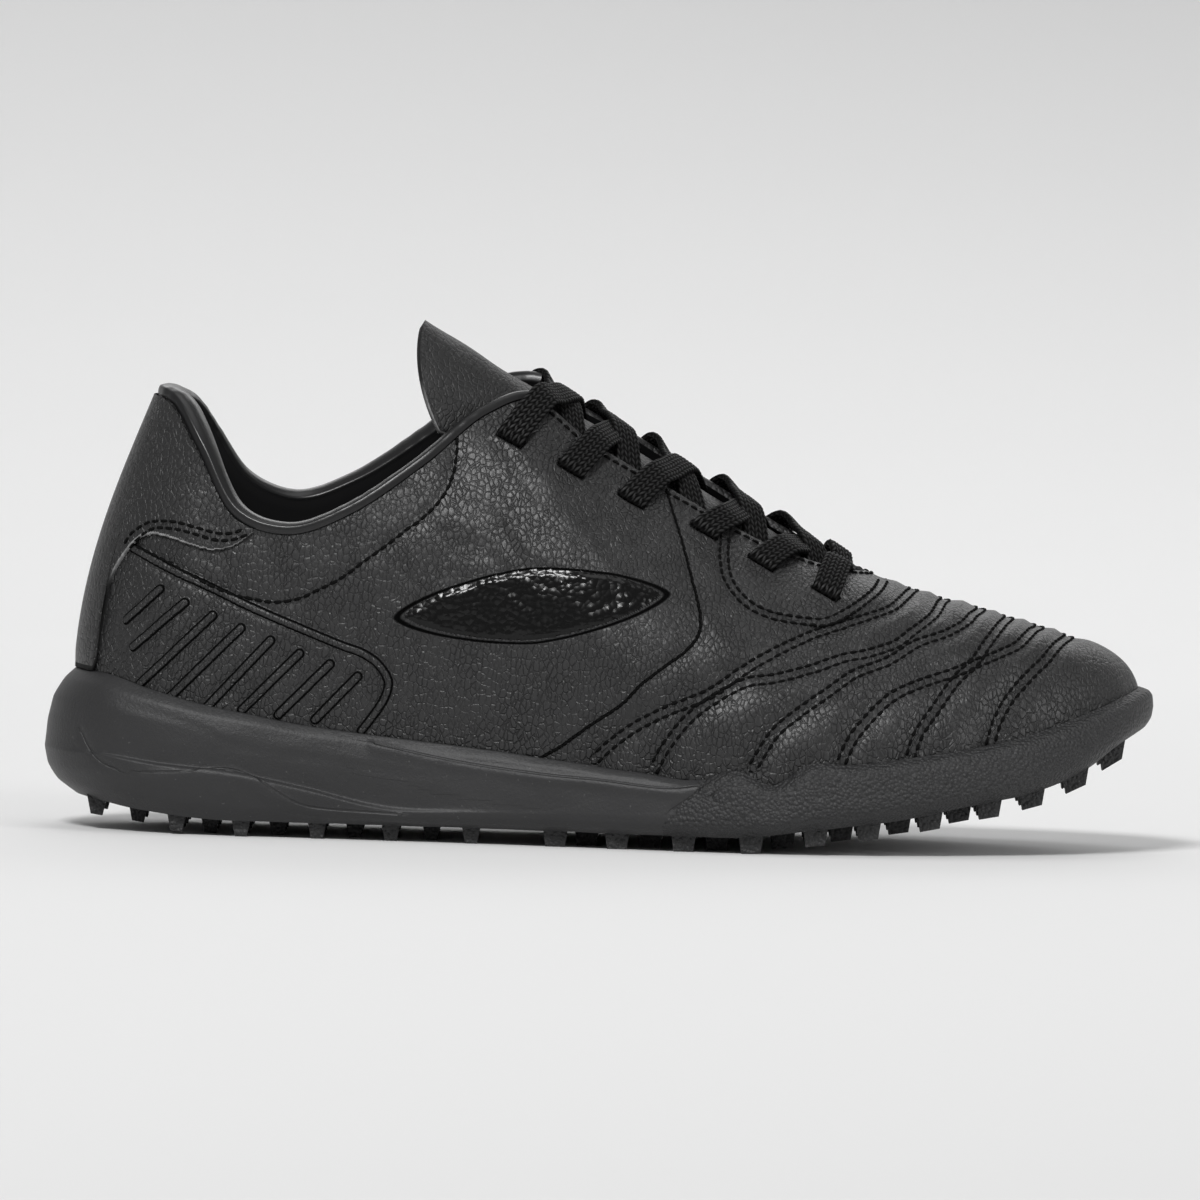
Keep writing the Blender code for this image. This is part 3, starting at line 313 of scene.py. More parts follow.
def sideCurve(s, w):
    w = np.asarray(w)[:, None]
    return (
        s["base"] * (1 - w) ** 3 + s["rise"] * 3 * w * (1 - w) ** 2
        + s["shoulder"] * 3 * w**2 * (1 - w) + s["edge"] * w**3
    )


def sideNormal(s, w):
    w = np.asarray(w)
    here = sideCurve(s, w)
    climb = sideCurve(s, np.minimum(w + 0.01, 1.0)) - sideCurve(s, np.maximum(w - 0.01, 0.0))
    normal = np.cross(np.roll(here, -1, 0) - np.roll(here, 1, 0), climb)
    return unitLong(normal)


def levelOf(s, height):
    low = np.zeros(len(height))
    high = np.ones(len(height))
    for _ in range(30):
        middle = (low + high) / 2
        under = sideCurve(s, middle)[:, 2] < height
        low = np.where(under, middle, low)
        high = np.where(under, high, middle)
    return (low + high) / 2


def offsetSide(s, w, distance):
    return sideCurve(s, w) + sideNormal(s, w) * np.asarray(distance)[:, None]


def wallAt(s, w):
    return wall + s["pad"] * ease(0.25, 0.85, np.asarray(w))


def innerSide(s, w):
    return offsetSide(s, w, -wallAt(s, w))


# Meshes from grids of points
def gridFaces(rows, count, wrap):
    across = count if wrap else count - 1
    r, c = np.meshgrid(np.arange(rows - 1), np.arange(across), indexing="ij")
    low, high = r * count, (r + 1) * count
    d = (c + 1) % count
    return np.stack([low + c, low + d, high + d, high + c], -1).reshape(-1, 4)


def gridNormals(grid, wrap):
    along = np.gradient(grid, axis=0)
    if wrap:
        across = np.roll(grid, -1, 1) - np.roll(grid, 1, 1)
    else:
        across = np.gradient(grid, axis=1)
    normal = np.cross(across, along)
    return normal / np.maximum(np.linalg.norm(normal, axis=2), 1e-12)[:, :, None]


def quadMesh(name, points, faces):
    mesh = bpy.data.meshes.new(name)
    points = np.asarray(points, np.float32).reshape(-1, 3)
    faces = np.asarray(faces, np.int32)
    mesh.vertices.add(len(points))
    mesh.vertices.foreach_set("co", points.ravel())
    mesh.loops.add(faces.size)
    mesh.loops.foreach_set("vertex_index", faces.ravel())
    mesh.polygons.add(len(faces))
    size = faces.shape[1]
    mesh.polygons.foreach_set("loop_start", np.arange(0, faces.size, size, dtype=np.int32))
    mesh.polygons.foreach_set("loop_total", np.full(len(faces), size, np.int32))
    mesh.update(calc_edges=True)
    mesh.validate()
    mesh.shade_smooth()
    return mesh


def gridMesh(name, grid, wrap):
    return quadMesh(name, grid, gridFaces(*grid.shape[:2], wrap))


def gridTree(grid, wrap):
    return BVHTree.FromPolygons(grid.reshape(-1, 3).tolist(), gridFaces(*grid.shape[:2], wrap).tolist())


def addField(mesh, name, values):
    layer = mesh.attributes.new(name, "FLOAT", "POINT")
    layer.data.foreach_set("value", np.asarray(values, np.float32).ravel())


def finishFaces(mesh, kinds):
    mesh.polygons.foreach_set("material_index", np.asarray(kinds, np.int32).ravel())


def addPiece(name, mesh, finish, stands=()):
    made = bpy.data.objects.new(name, mesh)
    bpy.context.scene.collection.objects.link(made)
    for each in finish if isinstance(finish, list) else [finish]:
        mesh.materials.append(each)
    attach(made, "root")
    if stands:
        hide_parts(*stands)
    return made


# Materials
def newMaterial(name, colour, roughness, level=0.5):
    made = bpy.data.materials.new(name)
    made.use_nodes = True
    shader = made.node_tree.nodes["Principled BSDF"]
    shader.inputs["Base Color"].default_value = (*colour, 1.0)
    shader.inputs["Roughness"].default_value = roughness
    shader.inputs["Specular IOR Level"].default_value = level
    return made, made.node_tree, shader


def grey(value):
    return (value, value, value)


def feed(tree, socket, value):
    if isinstance(value, tuple):
        socket.default_value = (*value, 1.0)
    elif isinstance(value, (int, float)):
        socket.default_value = value
    else:
        tree.links.new(value, socket)


def placeOf(tree):
    place = tree.nodes.get("place") or tree.nodes.new("ShaderNodeTexCoord")
    place.name = "place"
    return place.outputs["Object"]


def texture(tree, kind, scale, where, **inputs):
    made = tree.nodes.new(kind)
    feed(tree, made.inputs["Vector"], placeOf(tree) if where is None else where)
    made.inputs["Scale"].default_value = scale
    for socket, value in inputs.items():
        made.inputs[socket].default_value = value
    return made


def noise(tree, scale, where=None, output="Fac", **inputs):
    return texture(tree, "ShaderNodeTexNoise", scale, where, **inputs).outputs[output]


def cells(tree, scale, where=None, feature="F1"):
    made = texture(tree, "ShaderNodeTexVoronoi", scale, where)
    made.feature = feature
    return made.outputs["Distance"]


# A bump laid over those that the shader already has
def addBump(tree, shader, height, distance, strength=1.0):
    bump = tree.nodes.new("ShaderNodeBump")
    bump.inputs["Distance"].default_value = distance
    bump.inputs["Strength"].default_value = strength
    tree.links.new(height, bump.inputs["Height"])
    if shader.inputs["Normal"].is_linked:
        tree.links.new(shader.inputs["Normal"].links[0].from_socket, bump.inputs["Normal"])
    tree.links.new(bump.outputs["Normal"], shader.inputs["Normal"])


def maths(tree, operation, *values):
    made = tree.nodes.new("ShaderNodeMath")
    made.operation = operation
    for socket, value in zip(made.inputs, values):
        feed(tree, socket, value)
    return made.outputs[0]


def times(tree, first, second):
    return maths(tree, "MULTIPLY", first, second)


def fieldValue(tree, name):
    made = tree.nodes.new("ShaderNodeAttribute")
    made.attribute_name = name
    return made.outputs["Fac"]


def mapped(tree, value, numbers, kind="LINEAR"):
    made = tree.nodes.new("ShaderNodeMapRange")
    made.interpolation_type = kind
    for socket, number in zip(("From Min", "From Max", "To Min", "To Max"), numbers):
        made.inputs[socket].default_value = number
    tree.links.new(value, made.inputs["Value"])
    return made.outputs["Result"]


def spread(tree, value, low, high):
    return mapped(tree, value, (0.0, 1.0, low, high))


# 1 at low and beyond, 0 at high
def softStep(tree, value, low, high):
    return mapped(tree, value, (low, high, 1.0, 0.0), "SMOOTHSTEP")


# 1 on a line of the mesh, fading to 0 beside it, in mm
def onLine(tree, field, low, high, aside=0.0):
    away = maths(tree, "ABSOLUTE", fieldValue(tree, field))
    if aside:
        away = maths(tree, "ABSOLUTE", maths(tree, "SUBTRACT", away, aside))
    return softStep(tree, away, low, high)


def blendColour(tree, share, first, second):
    made = tree.nodes.new("ShaderNodeMix")
    made.data_type = "RGBA"
    for index, value in ((0, share), (6, first), (7, second)):
        feed(tree, made.inputs[index], value)
    return made.outputs[2]


def paintWith(tree, shader, share, first, second):
    tree.links.new(blendColour(tree, share, first, second), shader.inputs["Base Color"])


# Pebbled leather: creases between cells with painted shade, domes in them, pale specks that are partly dust
# and partly painted glints, and the lines of the upper where marked, with painted shade in their grooves
def leatherMaterial(name, facts):
    made, tree, shader = newMaterial(name, facts["dark"], facts["roughness"], facts["gloss"])
    bent, stretched = (tree.nodes.new("ShaderNodeVectorMath") for _ in range(2))
    bent.operation, stretched.operation = "MULTIPLY_ADD", "MULTIPLY"
    tree.links.new(noise(tree, 500.0, output="Color"), bent.inputs[0])
    bent.inputs[1].default_value = grey(0.0008)
    tree.links.new(placeOf(tree), bent.inputs[2])
    tree.links.new(bent.outputs[0], stretched.inputs[0])
    stretched.inputs[1].default_value = (1.25, 1.0, 0.78)
    where = stretched.outputs[0]
    pitch, depth = facts["pitch"], facts["depth"]
    crease = softStep(tree, cells(tree, 1.0 / pitch, where, "DISTANCE_TO_EDGE"), 0.01, 0.15)
    fine = noise(tree, 3.1 / pitch, where, Detail=3.0, Roughness=0.6)
    clouds = noise(tree, 90.0, where, Detail=4.0, Roughness=0.6)
    dustAndGlint = times(tree, softStep(tree, noise(tree, 1.9 / pitch, where, Detail=1.0), 0.78, 0.70), 0.6)
    patchy = softStep(tree, clouds, 0.62, 0.36)
    deep = times(tree, crease, maths(tree, "MULTIPLY_ADD", patchy, 0.45, 0.30))
    addBump(tree, shader, deep, -depth * 0.8)
    addBump(tree, shader, cells(tree, 1.0 / pitch, where), -depth * 0.30)
    addBump(tree, shader, fine, depth * 0.30, 0.8)
    colour = blendColour(tree, clouds, facts["dark"], facts["light"])
    # Painted shade: colour darkened in the grain's creases
    colour = blendColour(tree, times(tree, deep, 0.55), colour, grey(0.003))
    # Pale specks: partly dust, partly painted glints
    colour = blendColour(tree, dustAndGlint, colour, grey(0.075))
    rough = spread(tree, fine, facts["roughness"] - 0.14, facts["roughness"] + 0.14)
    if facts["marked"]:
        lines = maths(tree, "MAXIMUM", onLine(tree, "seam", 0.16, 0.50), onLine(tree, "band", 0.08, 0.36))
        lines = maths(tree, "MAXIMUM", lines, onLine(tree, "inlay", 0.14, 0.42, 0.55))
        addBump(tree, shader, lines, -0.00034)
        rough = maths(tree, "MAXIMUM", rough, lines)
        # Painted shade: the specular tint dims reflection in the grooves and the grain's creases
        reflectionShade = maths(tree, "MAXIMUM", lines, times(tree, deep, 0.30))
        tree.links.new(maths(tree, "MULTIPLY_ADD", reflectionShade, -0.95, 1.0), shader.inputs["Specular Tint"])
        # Painted shade: seams, band edges and the inlay's ring groove darkened in colour
        colour = blendColour(tree, times(tree, lines, 0.95), colour, grey(0.0008))
    tree.links.new(colour, shader.inputs["Base Color"])
    tree.links.new(rough, shader.inputs["Roughness"])
    return made


def mattMaterial(name, facts):
    made, tree, shader = newMaterial(name, facts["dark"], facts["roughness"], facts.get("gloss", 0.4))
    addBump(tree, shader, noise(tree, facts["scale"], Detail=5.0, Roughness=0.65), facts["depth"], 0.8)
    paintWith(tree, shader, noise(tree, 45.0, Detail=4.0), facts["dark"], facts["light"])
    return made


leather = leatherMaterial("pebbled_leather", {
    "dark": (0.0140, 0.0140, 0.0143), "light": (0.0205, 0.0205, 0.0209), "pitch": 0.00165,
    "depth": 0.00034, "roughness": 0.40, "gloss": 0.45, "marked": True,
})
plainLeather = leatherMaterial("plain_leather", {
    "dark": (0.0135, 0.0135, 0.0138), "light": (0.0195, 0.0195, 0.0199), "pitch": 0.00160,
    "depth": 0.00030, "roughness": 0.40, "gloss": 0.45, "marked": False,
})
tongueLeather = leatherMaterial("tongue_leather", {
    "dark": (0.0110, 0.0110, 0.0112), "light": (0.0165, 0.0165, 0.0168), "pitch": 0.0017,
    "depth": 0.00026, "roughness": 0.48, "gloss": 0.40, "marked": False,
})
lining = mattMaterial("smooth_lining", {
    "dark": (0.007, 0.007, 0.0073), "light": (0.012, 0.012, 0.0124), "scale": 1500.0, "depth": 0.00004,
    "roughness": 0.30,
})
bedCloth = mattMaterial("bed_cloth", {
    "dark": grey(0.0008), "light": grey(0.0016), "scale": 1800.0, "depth": 0.00006, "roughness": 0.9,
    "gloss": 0.05,
})
thread = mattMaterial("black_thread", {
    "dark": grey(0.0006), "light": grey(0.0016), "scale": 3000.0, "depth": 0.00005, "roughness": 0.8,
    "gloss": 0.12,
})
foam = mattMaterial("sole_foam", {
    "dark": (0.0180, 0.0180, 0.0187), "light": (0.0260, 0.0260, 0.0269), "scale": 1100.0, "depth": 0.00022,
    "roughness": 0.46,
})
rubber = mattMaterial("sole_rubber", {
    "dark": (0.0170, 0.0170, 0.0177), "light": (0.0250, 0.0250, 0.0259), "scale": 900.0, "depth": 0.00040,
    "roughness": 0.48,
})
for finish in (foam, rubber):
    tree = finish.node_tree
    shader = tree.nodes["Principled BSDF"]
    grooveAndShade = onLine(tree, "line", 0.08, 0.42)
    addBump(tree, shader, grooveAndShade, -0.00016)
    if finish is rubber:
        addBump(tree, shader, cells(tree, 1050.0), -0.00055)  # Pebbles
    colour = shader.inputs["Base Color"].links[0].from_socket
    # Painted shade: colour darkened along the sole's grooved lines
    colour = blendColour(tree, times(tree, grooveAndShade, 0.35), colour, grey(0.003))
    dust = softStep(tree, noise(tree, 1000.0, Detail=1.0), 0.80, 0.73)
    paintWith(tree, shader, times(tree, dust, 0.5), colour, grey(0.10))

inlay, tree, shader = newMaterial("gloss_inlay", grey(0.0005), 0.22, 0.30)
addBump(tree, shader, maths(tree, "ADD", cells(tree, 560.0), noise(tree, 230.0, Detail=2.0)), -0.00022)

shadedInsideLining, tree, shader = newMaterial("inside_lining_painted_shade", grey(0.002), 0.5, 0.06)
# Painted shade: the lining is painted darker the deeper it lies inside the shoe
unshadedNearEdge = softStep(tree, fieldValue(tree, "depth"), 2.0, 16.0)
paintWith(tree, shader, unshadedNearEdge, grey(0.0002), (0.0130, 0.0130, 0.0134))
tree.links.new(spread(tree, unshadedNearEdge, 1.0, 0.42), shader.inputs["Roughness"])

rawEdge, tree, shader = newMaterial("raw_edge", grey(0.1), 0.8, 0.2)
fibres = noise(tree, 900.0, Detail=4.0)
heights = tree.nodes.new("ShaderNodeSeparateXYZ")
tree.links.new(placeOf(tree), heights.inputs[0])
high = heights.outputs["Z"]  # The edge is pale between these heights alone; below them it is painted dark as shade
paleElseShaded = times(tree, softStep(tree, high, 0.070, 0.063), softStep(tree, high, 0.112, 0.119))
paintWith(tree, shader, times(tree, paleElseShaded, fibres), grey(0.010), grey(0.42))
addBump(tree, shader, fibres, 0.0002, 0.8)

cord, tree, shader = newMaterial("braided_cord", grey(0.006), 0.55, 0.45)
weave = maths(tree, "POWER", fieldValue(tree, "weave"), 2.2)
# Painted shade: the braid's hollows are painted darker and its ridges lighter; the specular tint dims
# reflection in the hollows
paintWith(tree, shader, weave, grey(0.0002), grey(0.0085))
tree.links.new(spread(tree, weave, 1.0, 0.38), shader.inputs["Roughness"])
tree.links.new(weave, shader.inputs["Specular Tint"])
addBump(tree, shader, noise(tree, 3200.0, Detail=3.0), 0.00012, 0.8)
say("materials")

# The form at a fine pitch
fineness = {
    "station": 0.45, "levels": 165, "soleSteps": 5, "lining": 41, "liningStride": 2, "collarSteps": 3,
    "overlay": 70, "tongue": (150, 61), "laceStep": 0.38, "laceAcross": 22,
}
sideLevels = fineness["levels"]
s = shoeSections(fineness["station"] * mm)
stationCount = len(s["x"])
levelShares = np.linspace(0.0, 1.0, sideLevels + 1)
startLevel = s["rimLevel"] * 0.80
upperGrid = np.array([sideCurve(s, mix(startLevel, 1.0, share)) for share in levelShares])
upperNormals = gridNormals(upperGrid, True)
upperTree = gridTree(upperGrid, True)


# Rings of the sole's side from tread to rim, then over the rim into the cup
def soleProfile():
    rimPoint = sideCurve(s, s["rimLevel"])
    drift = ((rimPoint[:, :2] - s["base"][:, :2]) * s["out"]).sum(1)
    rimInset = s["flare"] - drift - rimLip
    heelShare = ease(0.0, 1.0, (s["under"] - edgeUnder) / (heelUnder - edgeUnder))
    crest = s["tread"] + (s["rim"] - s["tread"]) * s["wave"]
    heights = []
    insets = []
    for lift, inset in ((0.0, 1.0), (0.30, 0.42), (0.65, 0.10), (1.0, 0.0)):
        heights.append(mix(s["tread"], crest, lift))
        insets.append(s["under"] * inset)
    heights.append(np.minimum(crest + waveStep, mix(crest, s["rim"], 0.15)))
    insets.append(s["step"])
    for rise, heelInset, sideInset in sideCurveRows:
        heights.append(mix(crest, s["rim"], rise))
        insets.append(mix(sideInset, heelInset, heelShare) * rimInset + s["step"] * (1.0 - rise) * 0.8)
    rings = [
        np.column_stack([s["plan"] - s["out"] * inset[:, None], height])
        for height, inset in zip(heights, insets)
    ]
    one = np.ones(stationCount)
    rings.append(offsetSide(s, s["rimLevel"], one * gap * 0.5))
    rings.append(offsetSide(s, s["rimLevel"] * 0.75, one * gap * 0.5))
    return np.array(rings)


# Rows between key rings on a soft curve through them
def smoothRows(rings, steps):
    made = []
    last = len(rings) - 1
    for k in range(last):
        before = rings[max(k - 1, 0)]
        after = rings[min(k + 2, last)]
        a, b = rings[k], rings[k + 1]
        firstSlope = (b - before) * (0.5 if k else 1.0) * 0.6
        nextSlope = (after - a) * (0.5 if k + 1 < last else 1.0) * 0.6
        made.extend(hermite(a, b, firstSlope, nextSlope, step / steps) for step in range(steps))
    made.append(rings[-1])
    return np.array(made)


soleGrid = smoothRows(soleProfile(), fineness["soleSteps"])
soleNormals = gridNormals(soleGrid, True)
soleTree = gridTree(soleGrid, True)
say("forms")


# Places in a grid (row, station) that rays fall on
def placesOn(tree, grid, rays):
    found = []
    count = grid.shape[1]
    for start, way in rays:
        hit, _, face, _ = tree.ray_cast(start, way)
        if hit is None:
            continue
        r, c = divmod(face, count)
        corner = grid[r, c]
        up = grid[r + 1, c] - corner
        side = grid[r, (c + 1) % count] - corner
        away = np.array(hit) - corner
        u = np.clip(away.dot(up) / up.dot(up), 0, 1)
        v = np.clip(away.dot(side) / side.dot(side), 0, 1)
        found.append((r + u, c + v))
    return np.array(found)


def seenOn(tree, grid, points):
    return placesOn(tree, grid, [pixelRay(px, py) for px, py in points])


# Points of a grid at fractional places
def pointsAt(grid, places):
    rows = np.clip(places[:, 0], 0, len(grid) - 1.001)
    r = rows.astype(int)
    c = np.floor(places[:, 1]).astype(int)
    u = (rows - r)[:, None]
    v = (places[:, 1] - c)[:, None]
    count = grid.shape[1]
    a, b = grid[r, c % count], grid[r, (c + 1) % count]
    d, e = grid[r + 1, c % count], grid[r + 1, (c + 1) % count]
    return (a * (1 - v) + b * v) * (1 - u) + (d * (1 - v) + e * v) * u


def mirrored(places, count):
    turned = places.copy()
    turned[:, 1] = count - turned[:, 1]
    return turned


# Evenly spaced points on a soft curve through the given ones, in the plane
def curveThrough(points, spacing):
    points = np.asarray(points, float)
    if len(points) < 3:
        hops = np.linalg.norm(points[-1] - points[0])
        share = np.linspace(0, 1, max(2, int(hops / spacing)))[:, None]
        return mix(points[0], points[-1], share)
    before = np.vstack([points[:1] * 2 - points[1:2], points[:-1]])
    after = np.vstack([points[1:], points[-1:] * 2 - points[-2:-1]])
    slope = (after - before) / 2
    made = []
    for k in range(len(points) - 1):
        steps = max(2, int(np.linalg.norm(points[k + 1] - points[k]) / spacing))
        u = np.arange(steps)[:, None] / steps
        made.append(hermite(points[k], points[k + 1], slope[k], slope[k + 1], u))
    made.append(points[-1:])
    return np.concatenate(made)


# Distance of a grid's points to a line, no more than reach; signed where normals are given
def distanceTo(grid, line, reach, normals=None):
    flat = grid.reshape(-1, 3)
    distance = np.full(len(flat), reach)
    run = np.gradient(line, axis=0)
    spacing = np.linalg.norm(run, axis=1)
    run /= spacing[:, None]
    across = None if normals is None else np.cross(normals, run)
    near = np.all((flat > line.min(0) - reach) & (flat < line.max(0) + reach), axis=1)
    where = np.nonzero(near)[0]
    for part in np.array_split(where, max(1, len(where) // 6000)):
        if not len(part):
            continue
        best = ((flat[part][:, None, :] - line[None, :, :]) ** 2).sum(2).argmin(1)
        away = flat[part] - line[best]
        along = (away * run[best]).sum(1)
        square = np.maximum((away**2).sum(1) - along**2, 0.0)
        past = np.maximum(np.abs(along) - spacing[best] / 2, 0.0)
        found = np.minimum(np.sqrt(square + past**2), reach)
        if across is not None:
            found = np.copysign(found, (away * across[best]).sum(1))
        distance[part] = found
    return distance.reshape(grid.shape[:2])


def nearer(field, other):
    return np.where(np.abs(other) < np.abs(field), other, field)


# Lines on the upper, in the photo's pixels
vampSeams = (
    ((912, 587), (893, 604), (870, 613), (842, 622), (809, 634), (772, 652), (741, 671), (711, 692),
     (686, 703), (662, 713), (635, 727), (611, 744), (594, 760)),
    ((943, 598), (934, 612), (914, 628), (895, 642), (866, 651), (843, 656), (805, 669), (774, 677),
     (744, 682), (709, 702), (687, 720), (667, 745), (653, 770)),
    ((975, 610), (966, 619), (945, 631), (917, 641), (890, 658), (855, 672), (827, 692), (799, 712),
     (774, 734), (753, 767)),
    ((1004, 619), (997, 628), (987, 642), (975, 660), (956, 670), (926, 680), (895, 694), (872, 715),
     (853, 739), (842, 763)),
    ((1035, 625), (1029, 632), (1017, 643), (998, 652), (974, 663), (956, 680), (938, 706), (920, 733),
     (911, 759)),
    ((1065, 636), (1058, 643), (1047, 657), (1029, 676), (1012, 697), (999, 721), (991, 748)),
)
eyestaySeam = (
    (726, 535), (725, 551), (726, 565), (729, 578), (737, 591), (750, 603), (767, 612), (787, 617),
    (807, 620), (825, 620), (845, 612), (864, 600), (878, 588), (884, 578),
)
quarterEmboss = (
    (667, 490), (677, 520), (687, 555), (696, 591), (701, 616), (699, 634), (687, 650), (667, 665),
    (641, 685), (621, 705), (591, 725), (560, 747), (537, 760),
)
quarterStitch = (
    (136, 546), (160, 558), (184, 571), (210, 585), (232, 594), (253, 599), (275, 602), (297, 599),
    (318, 590), (340, 579), (362, 563), (383, 548), (405, 531), (424, 517), (442, 498), (452, 477),
    (456, 457), (457, 433),
)
heelBorder = (
    (133, 548), (171, 569), (210, 587), (253, 608), (297, 627), (340, 645), (362, 653), (377, 663),
    (387, 677), (388, 688), (383, 701), (373, 716), (362, 730),
)
heelBars = (
    ((159, 590), (127, 619)), ((184, 603), (134, 646)), ((212, 616), (141, 683)), ((240, 629), (171, 696)),
    ((270, 641), (208, 706)), ((299, 654), (243, 709)), ((329, 665), (279, 714)), ((357, 677), (316, 719)),
)
counterStitch = (
    ((124, 545), (131, 534), (147, 523), (163, 521), (180, 523), (198, 528), (217, 533), (232, 533),
     (246, 528)),
    ((129, 549), (136, 540), (152, 529), (165, 528), (180, 530), (198, 535), (215, 540), (231, 540),
     (247, 535)),
)


# Dense line through pixels, laid on the upper, on the outer or the inner side
def onUpper(points, mirror):
    places = seenOn(upperTree, upperGrid, curveThrough(points, 2.0))
    return mirrored(places, stationCount) if mirror else places


# A line moved sideways over the surface
def sideLine(line, normals, distance):
    run = np.gradient(line, axis=0)
    across = np.cross(normals, run)
    across = unitLong(across)
    return line + across * distance


height = np.zeros(upperGrid.shape[:2])
quilt = np.zeros(upperGrid.shape[:2])
seamField = np.full(upperGrid.shape[:2], 9 * mm)
bandField = np.full(upperGrid.shape[:2], 9 * mm)
stitchLines = []
closeLines = []


# The part of a seam that joins its outer and inner runs over the vamp
def overCrest(points):
    a, b = (pointsAt(upperGrid, onUpper(points, mirror)) for mirror in (False, True))
    span = np.linalg.norm(b[0] - a[0]) * 0.8
    u = np.linspace(0.0, 1.0, 90)[:, None]
    arc = hermite(a[0], b[0], unitLong(a[0] - a[12]) * span, unitLong(b[12] - b[0]) * span, u)
    return placesOn(upperTree, upperGrid, [(Vector((p[0], p[1], 0.3)), Vector((0, 0, -1))) for p in arc])


vamp = {"seamDepth": 1.25 * mm, "throatDepth": 0.60 * mm, "swell": 3.8 * mm, "rowAside": 1.15 * mm}
quarter = {
    "embossDepth": 0.28 * mm, "embossWidth": 2.2 * mm, "stitchDepth": 0.25 * mm, "stitchWidth": 2.4 * mm,
    "borderHalf": 1.0 * mm, "barHalf": 1.1 * mm, "bandRise": 0.50 * mm, "bandDip": 0.22 * mm,
}
threadHalf = 0.22 * mm
seams = vampSeams + (eyestaySeam,)
runs = [(points, onUpper(points, mirror)) for mirror in (False, True) for points in seams]
runs += [(points, overCrest(points)) for points in vampSeams]
for points, places in runs:
    normals = pointsAt(upperNormals, places)
    gapTo = distanceTo(upperGrid, pointsAt(upperGrid, places), 12 * mm, normals)
    deep = vamp["throatDepth"] if points is eyestaySeam else vamp["seamDepth"]
    quilt = np.minimum(quilt, -deep * bell(gapTo, vamp["swell"]))
    seamField = nearer(seamField, np.abs(np.abs(gapTo) - vamp["rowAside"]) + threadHalf)
    stitchLines += [(places, normals, aside * vamp["rowAside"]) for aside in (1, -1)]
for mirror in (False, True):
    for points, kind in ((quarterEmboss, "emboss"), (quarterStitch, "stitch")):
        places = onUpper(points, mirror)
        normals = pointsAt(upperNormals, places)
        gapTo = distanceTo(upperGrid, pointsAt(upperGrid, places), 9 * mm, normals)
        height -= quarter[kind + "Depth"] * bell(gapTo, quarter[kind + "Width"])
        seamField = nearer(seamField, np.abs(gapTo) + (threadHalf if kind == "stitch" else 0.0))
        (stitchLines if kind == "stitch" else closeLines).append((places, normals, 0.0))
    for points in (heelBorder, *heelBars):
        gapTo = distanceTo(upperGrid, pointsAt(upperGrid, onUpper(points, mirror)), 9 * mm)
        half = quarter["borderHalf"] if points is heelBorder else quarter["barHalf"]
        bandField = np.minimum(bandField, gapTo - half)
height += quilt + quarter["bandRise"] * ease(0.5 * mm, -0.5 * mm, bandField)
height -= quarter["bandDip"] * bell(bandField - 0.3 * mm, 0.9 * mm)

# Stitch row along the throat, a little in from its cut edge
edgeRun = np.linalg.norm(upperGrid[-1] - upperGrid[-8], axis=1) / 7
for mirror in (False, True):
    columns = np.arange(s["rowStart"][9] + 6, s["rowStart"][20] - 12)
    rows = sideLevels - 2.0 * mm / edgeRun[columns]
    places = np.stack([rows, columns], 1)
    places = mirrored(places, stationCount) if mirror else places
    stitchLines.append((places, pointsAt(upperNormals, places), 0.0))
say("seams")

# Eyelets: pressed slots that the lace goes into; share of the length, then of the instep on each side
slotRows = (
    (0.699, 0.585, 0.606), (0.641, 0.648, 0.690), (0.589, 0.718, 0.768),
    (0.523, 0.784, 0.838), (0.468, 0.851, 0.908), (0.414, 0.917, 0.966),
)
slot = {
    "slope": math.radians(28), "length": 8.6 * mm, "halfLong": 3.4 * mm, "halfWide": 0.9 * mm,
    "depth": 1.5 * mm, "lip": 0.25 * mm,
}


# Place and normal on the upper at a point of the side view
def besideView(side, x, z):
    hit, normal, _, _ = upperTree.ray_cast(Vector((x, side * 0.2, z)), Vector((0, -side, 0)))
    return np.array(hit), np.array(normal if normal.y * side > 0 or normal.z > 0 else -normal)


def slotFrame(side, index):
    along, lateral, medial = slotRows[index]
    x = alongX(along)
    z = (lateral if side < 0 else medial) * instepHeight
    centre, normal = besideView(side, x, z)
    step = slot["length"] / 2
    ahead, _ = besideView(side, x + step, z - step * math.tan(slot["slope"]))
    way = ahead - centre
    return centre, unitLong(way - normal * way.dot(normal)), normal


for side in (-1, 1):
    for index in range(len(slotRows)):
        centre, way, normal = slotFrame(side, index)
        away = upperGrid - centre
        near = (away**2).sum(2) < (9 * mm) ** 2
        lengthwise = np.abs(away @ way) - slot["halfLong"]
        crosswise = np.abs(away @ np.cross(normal, way)) - slot["halfWide"]
        past = np.maximum(lengthwise, crosswise)
        height -= near * slot["depth"] * ease(0.5 * mm, 0.0, past)
        height += near * slot["lip"] * bell(past - 1.0 * mm, 0.7 * mm)
say("eyelets")

# Plain glossy inlay on the outer side, a pointed oval in the picture's pixels
oval = {"middle": (532, 606), "half": (128, 35), "turn": -5.0, "power": 1.5, "rise": 0.60 * mm}


# Roughly the distance to the oval, in pixels: below 0 inside
def insideOval(pixels):
    away = pixels - np.array(oval["middle"])
    c, d = math.cos(math.radians(oval["turn"])), math.sin(math.radians(oval["turn"]))
    u = np.abs(away[..., 0] * c + away[..., 1] * d) / oval["half"][0]
    v = np.abs(away[..., 1] * c - away[..., 0] * d) / oval["half"][1]
    ring = (u ** oval["power"] + v ** oval["power"]) ** (1.0 / oval["power"])
    return (ring - 1.0) * oval["half"][1]


def pixelOf(points):
    away = points - eye
    scale = focalPixels / (away @ lookWay)
    half = photoView["pixels"] / 2
    return np.stack([half + away @ rightWay * scale, half - away @ upWay * scale], -1)


inlayField = insideOval(pixelOf(upperGrid)) * photoView["metresPerPixel"]
inlayField[:, stationCount // 2:] = 9 * mm
inlayField = np.minimum(inlayField, 9 * mm)
height += oval["rise"] * ease(0.3 * mm, -1.2 * mm, inlayField)

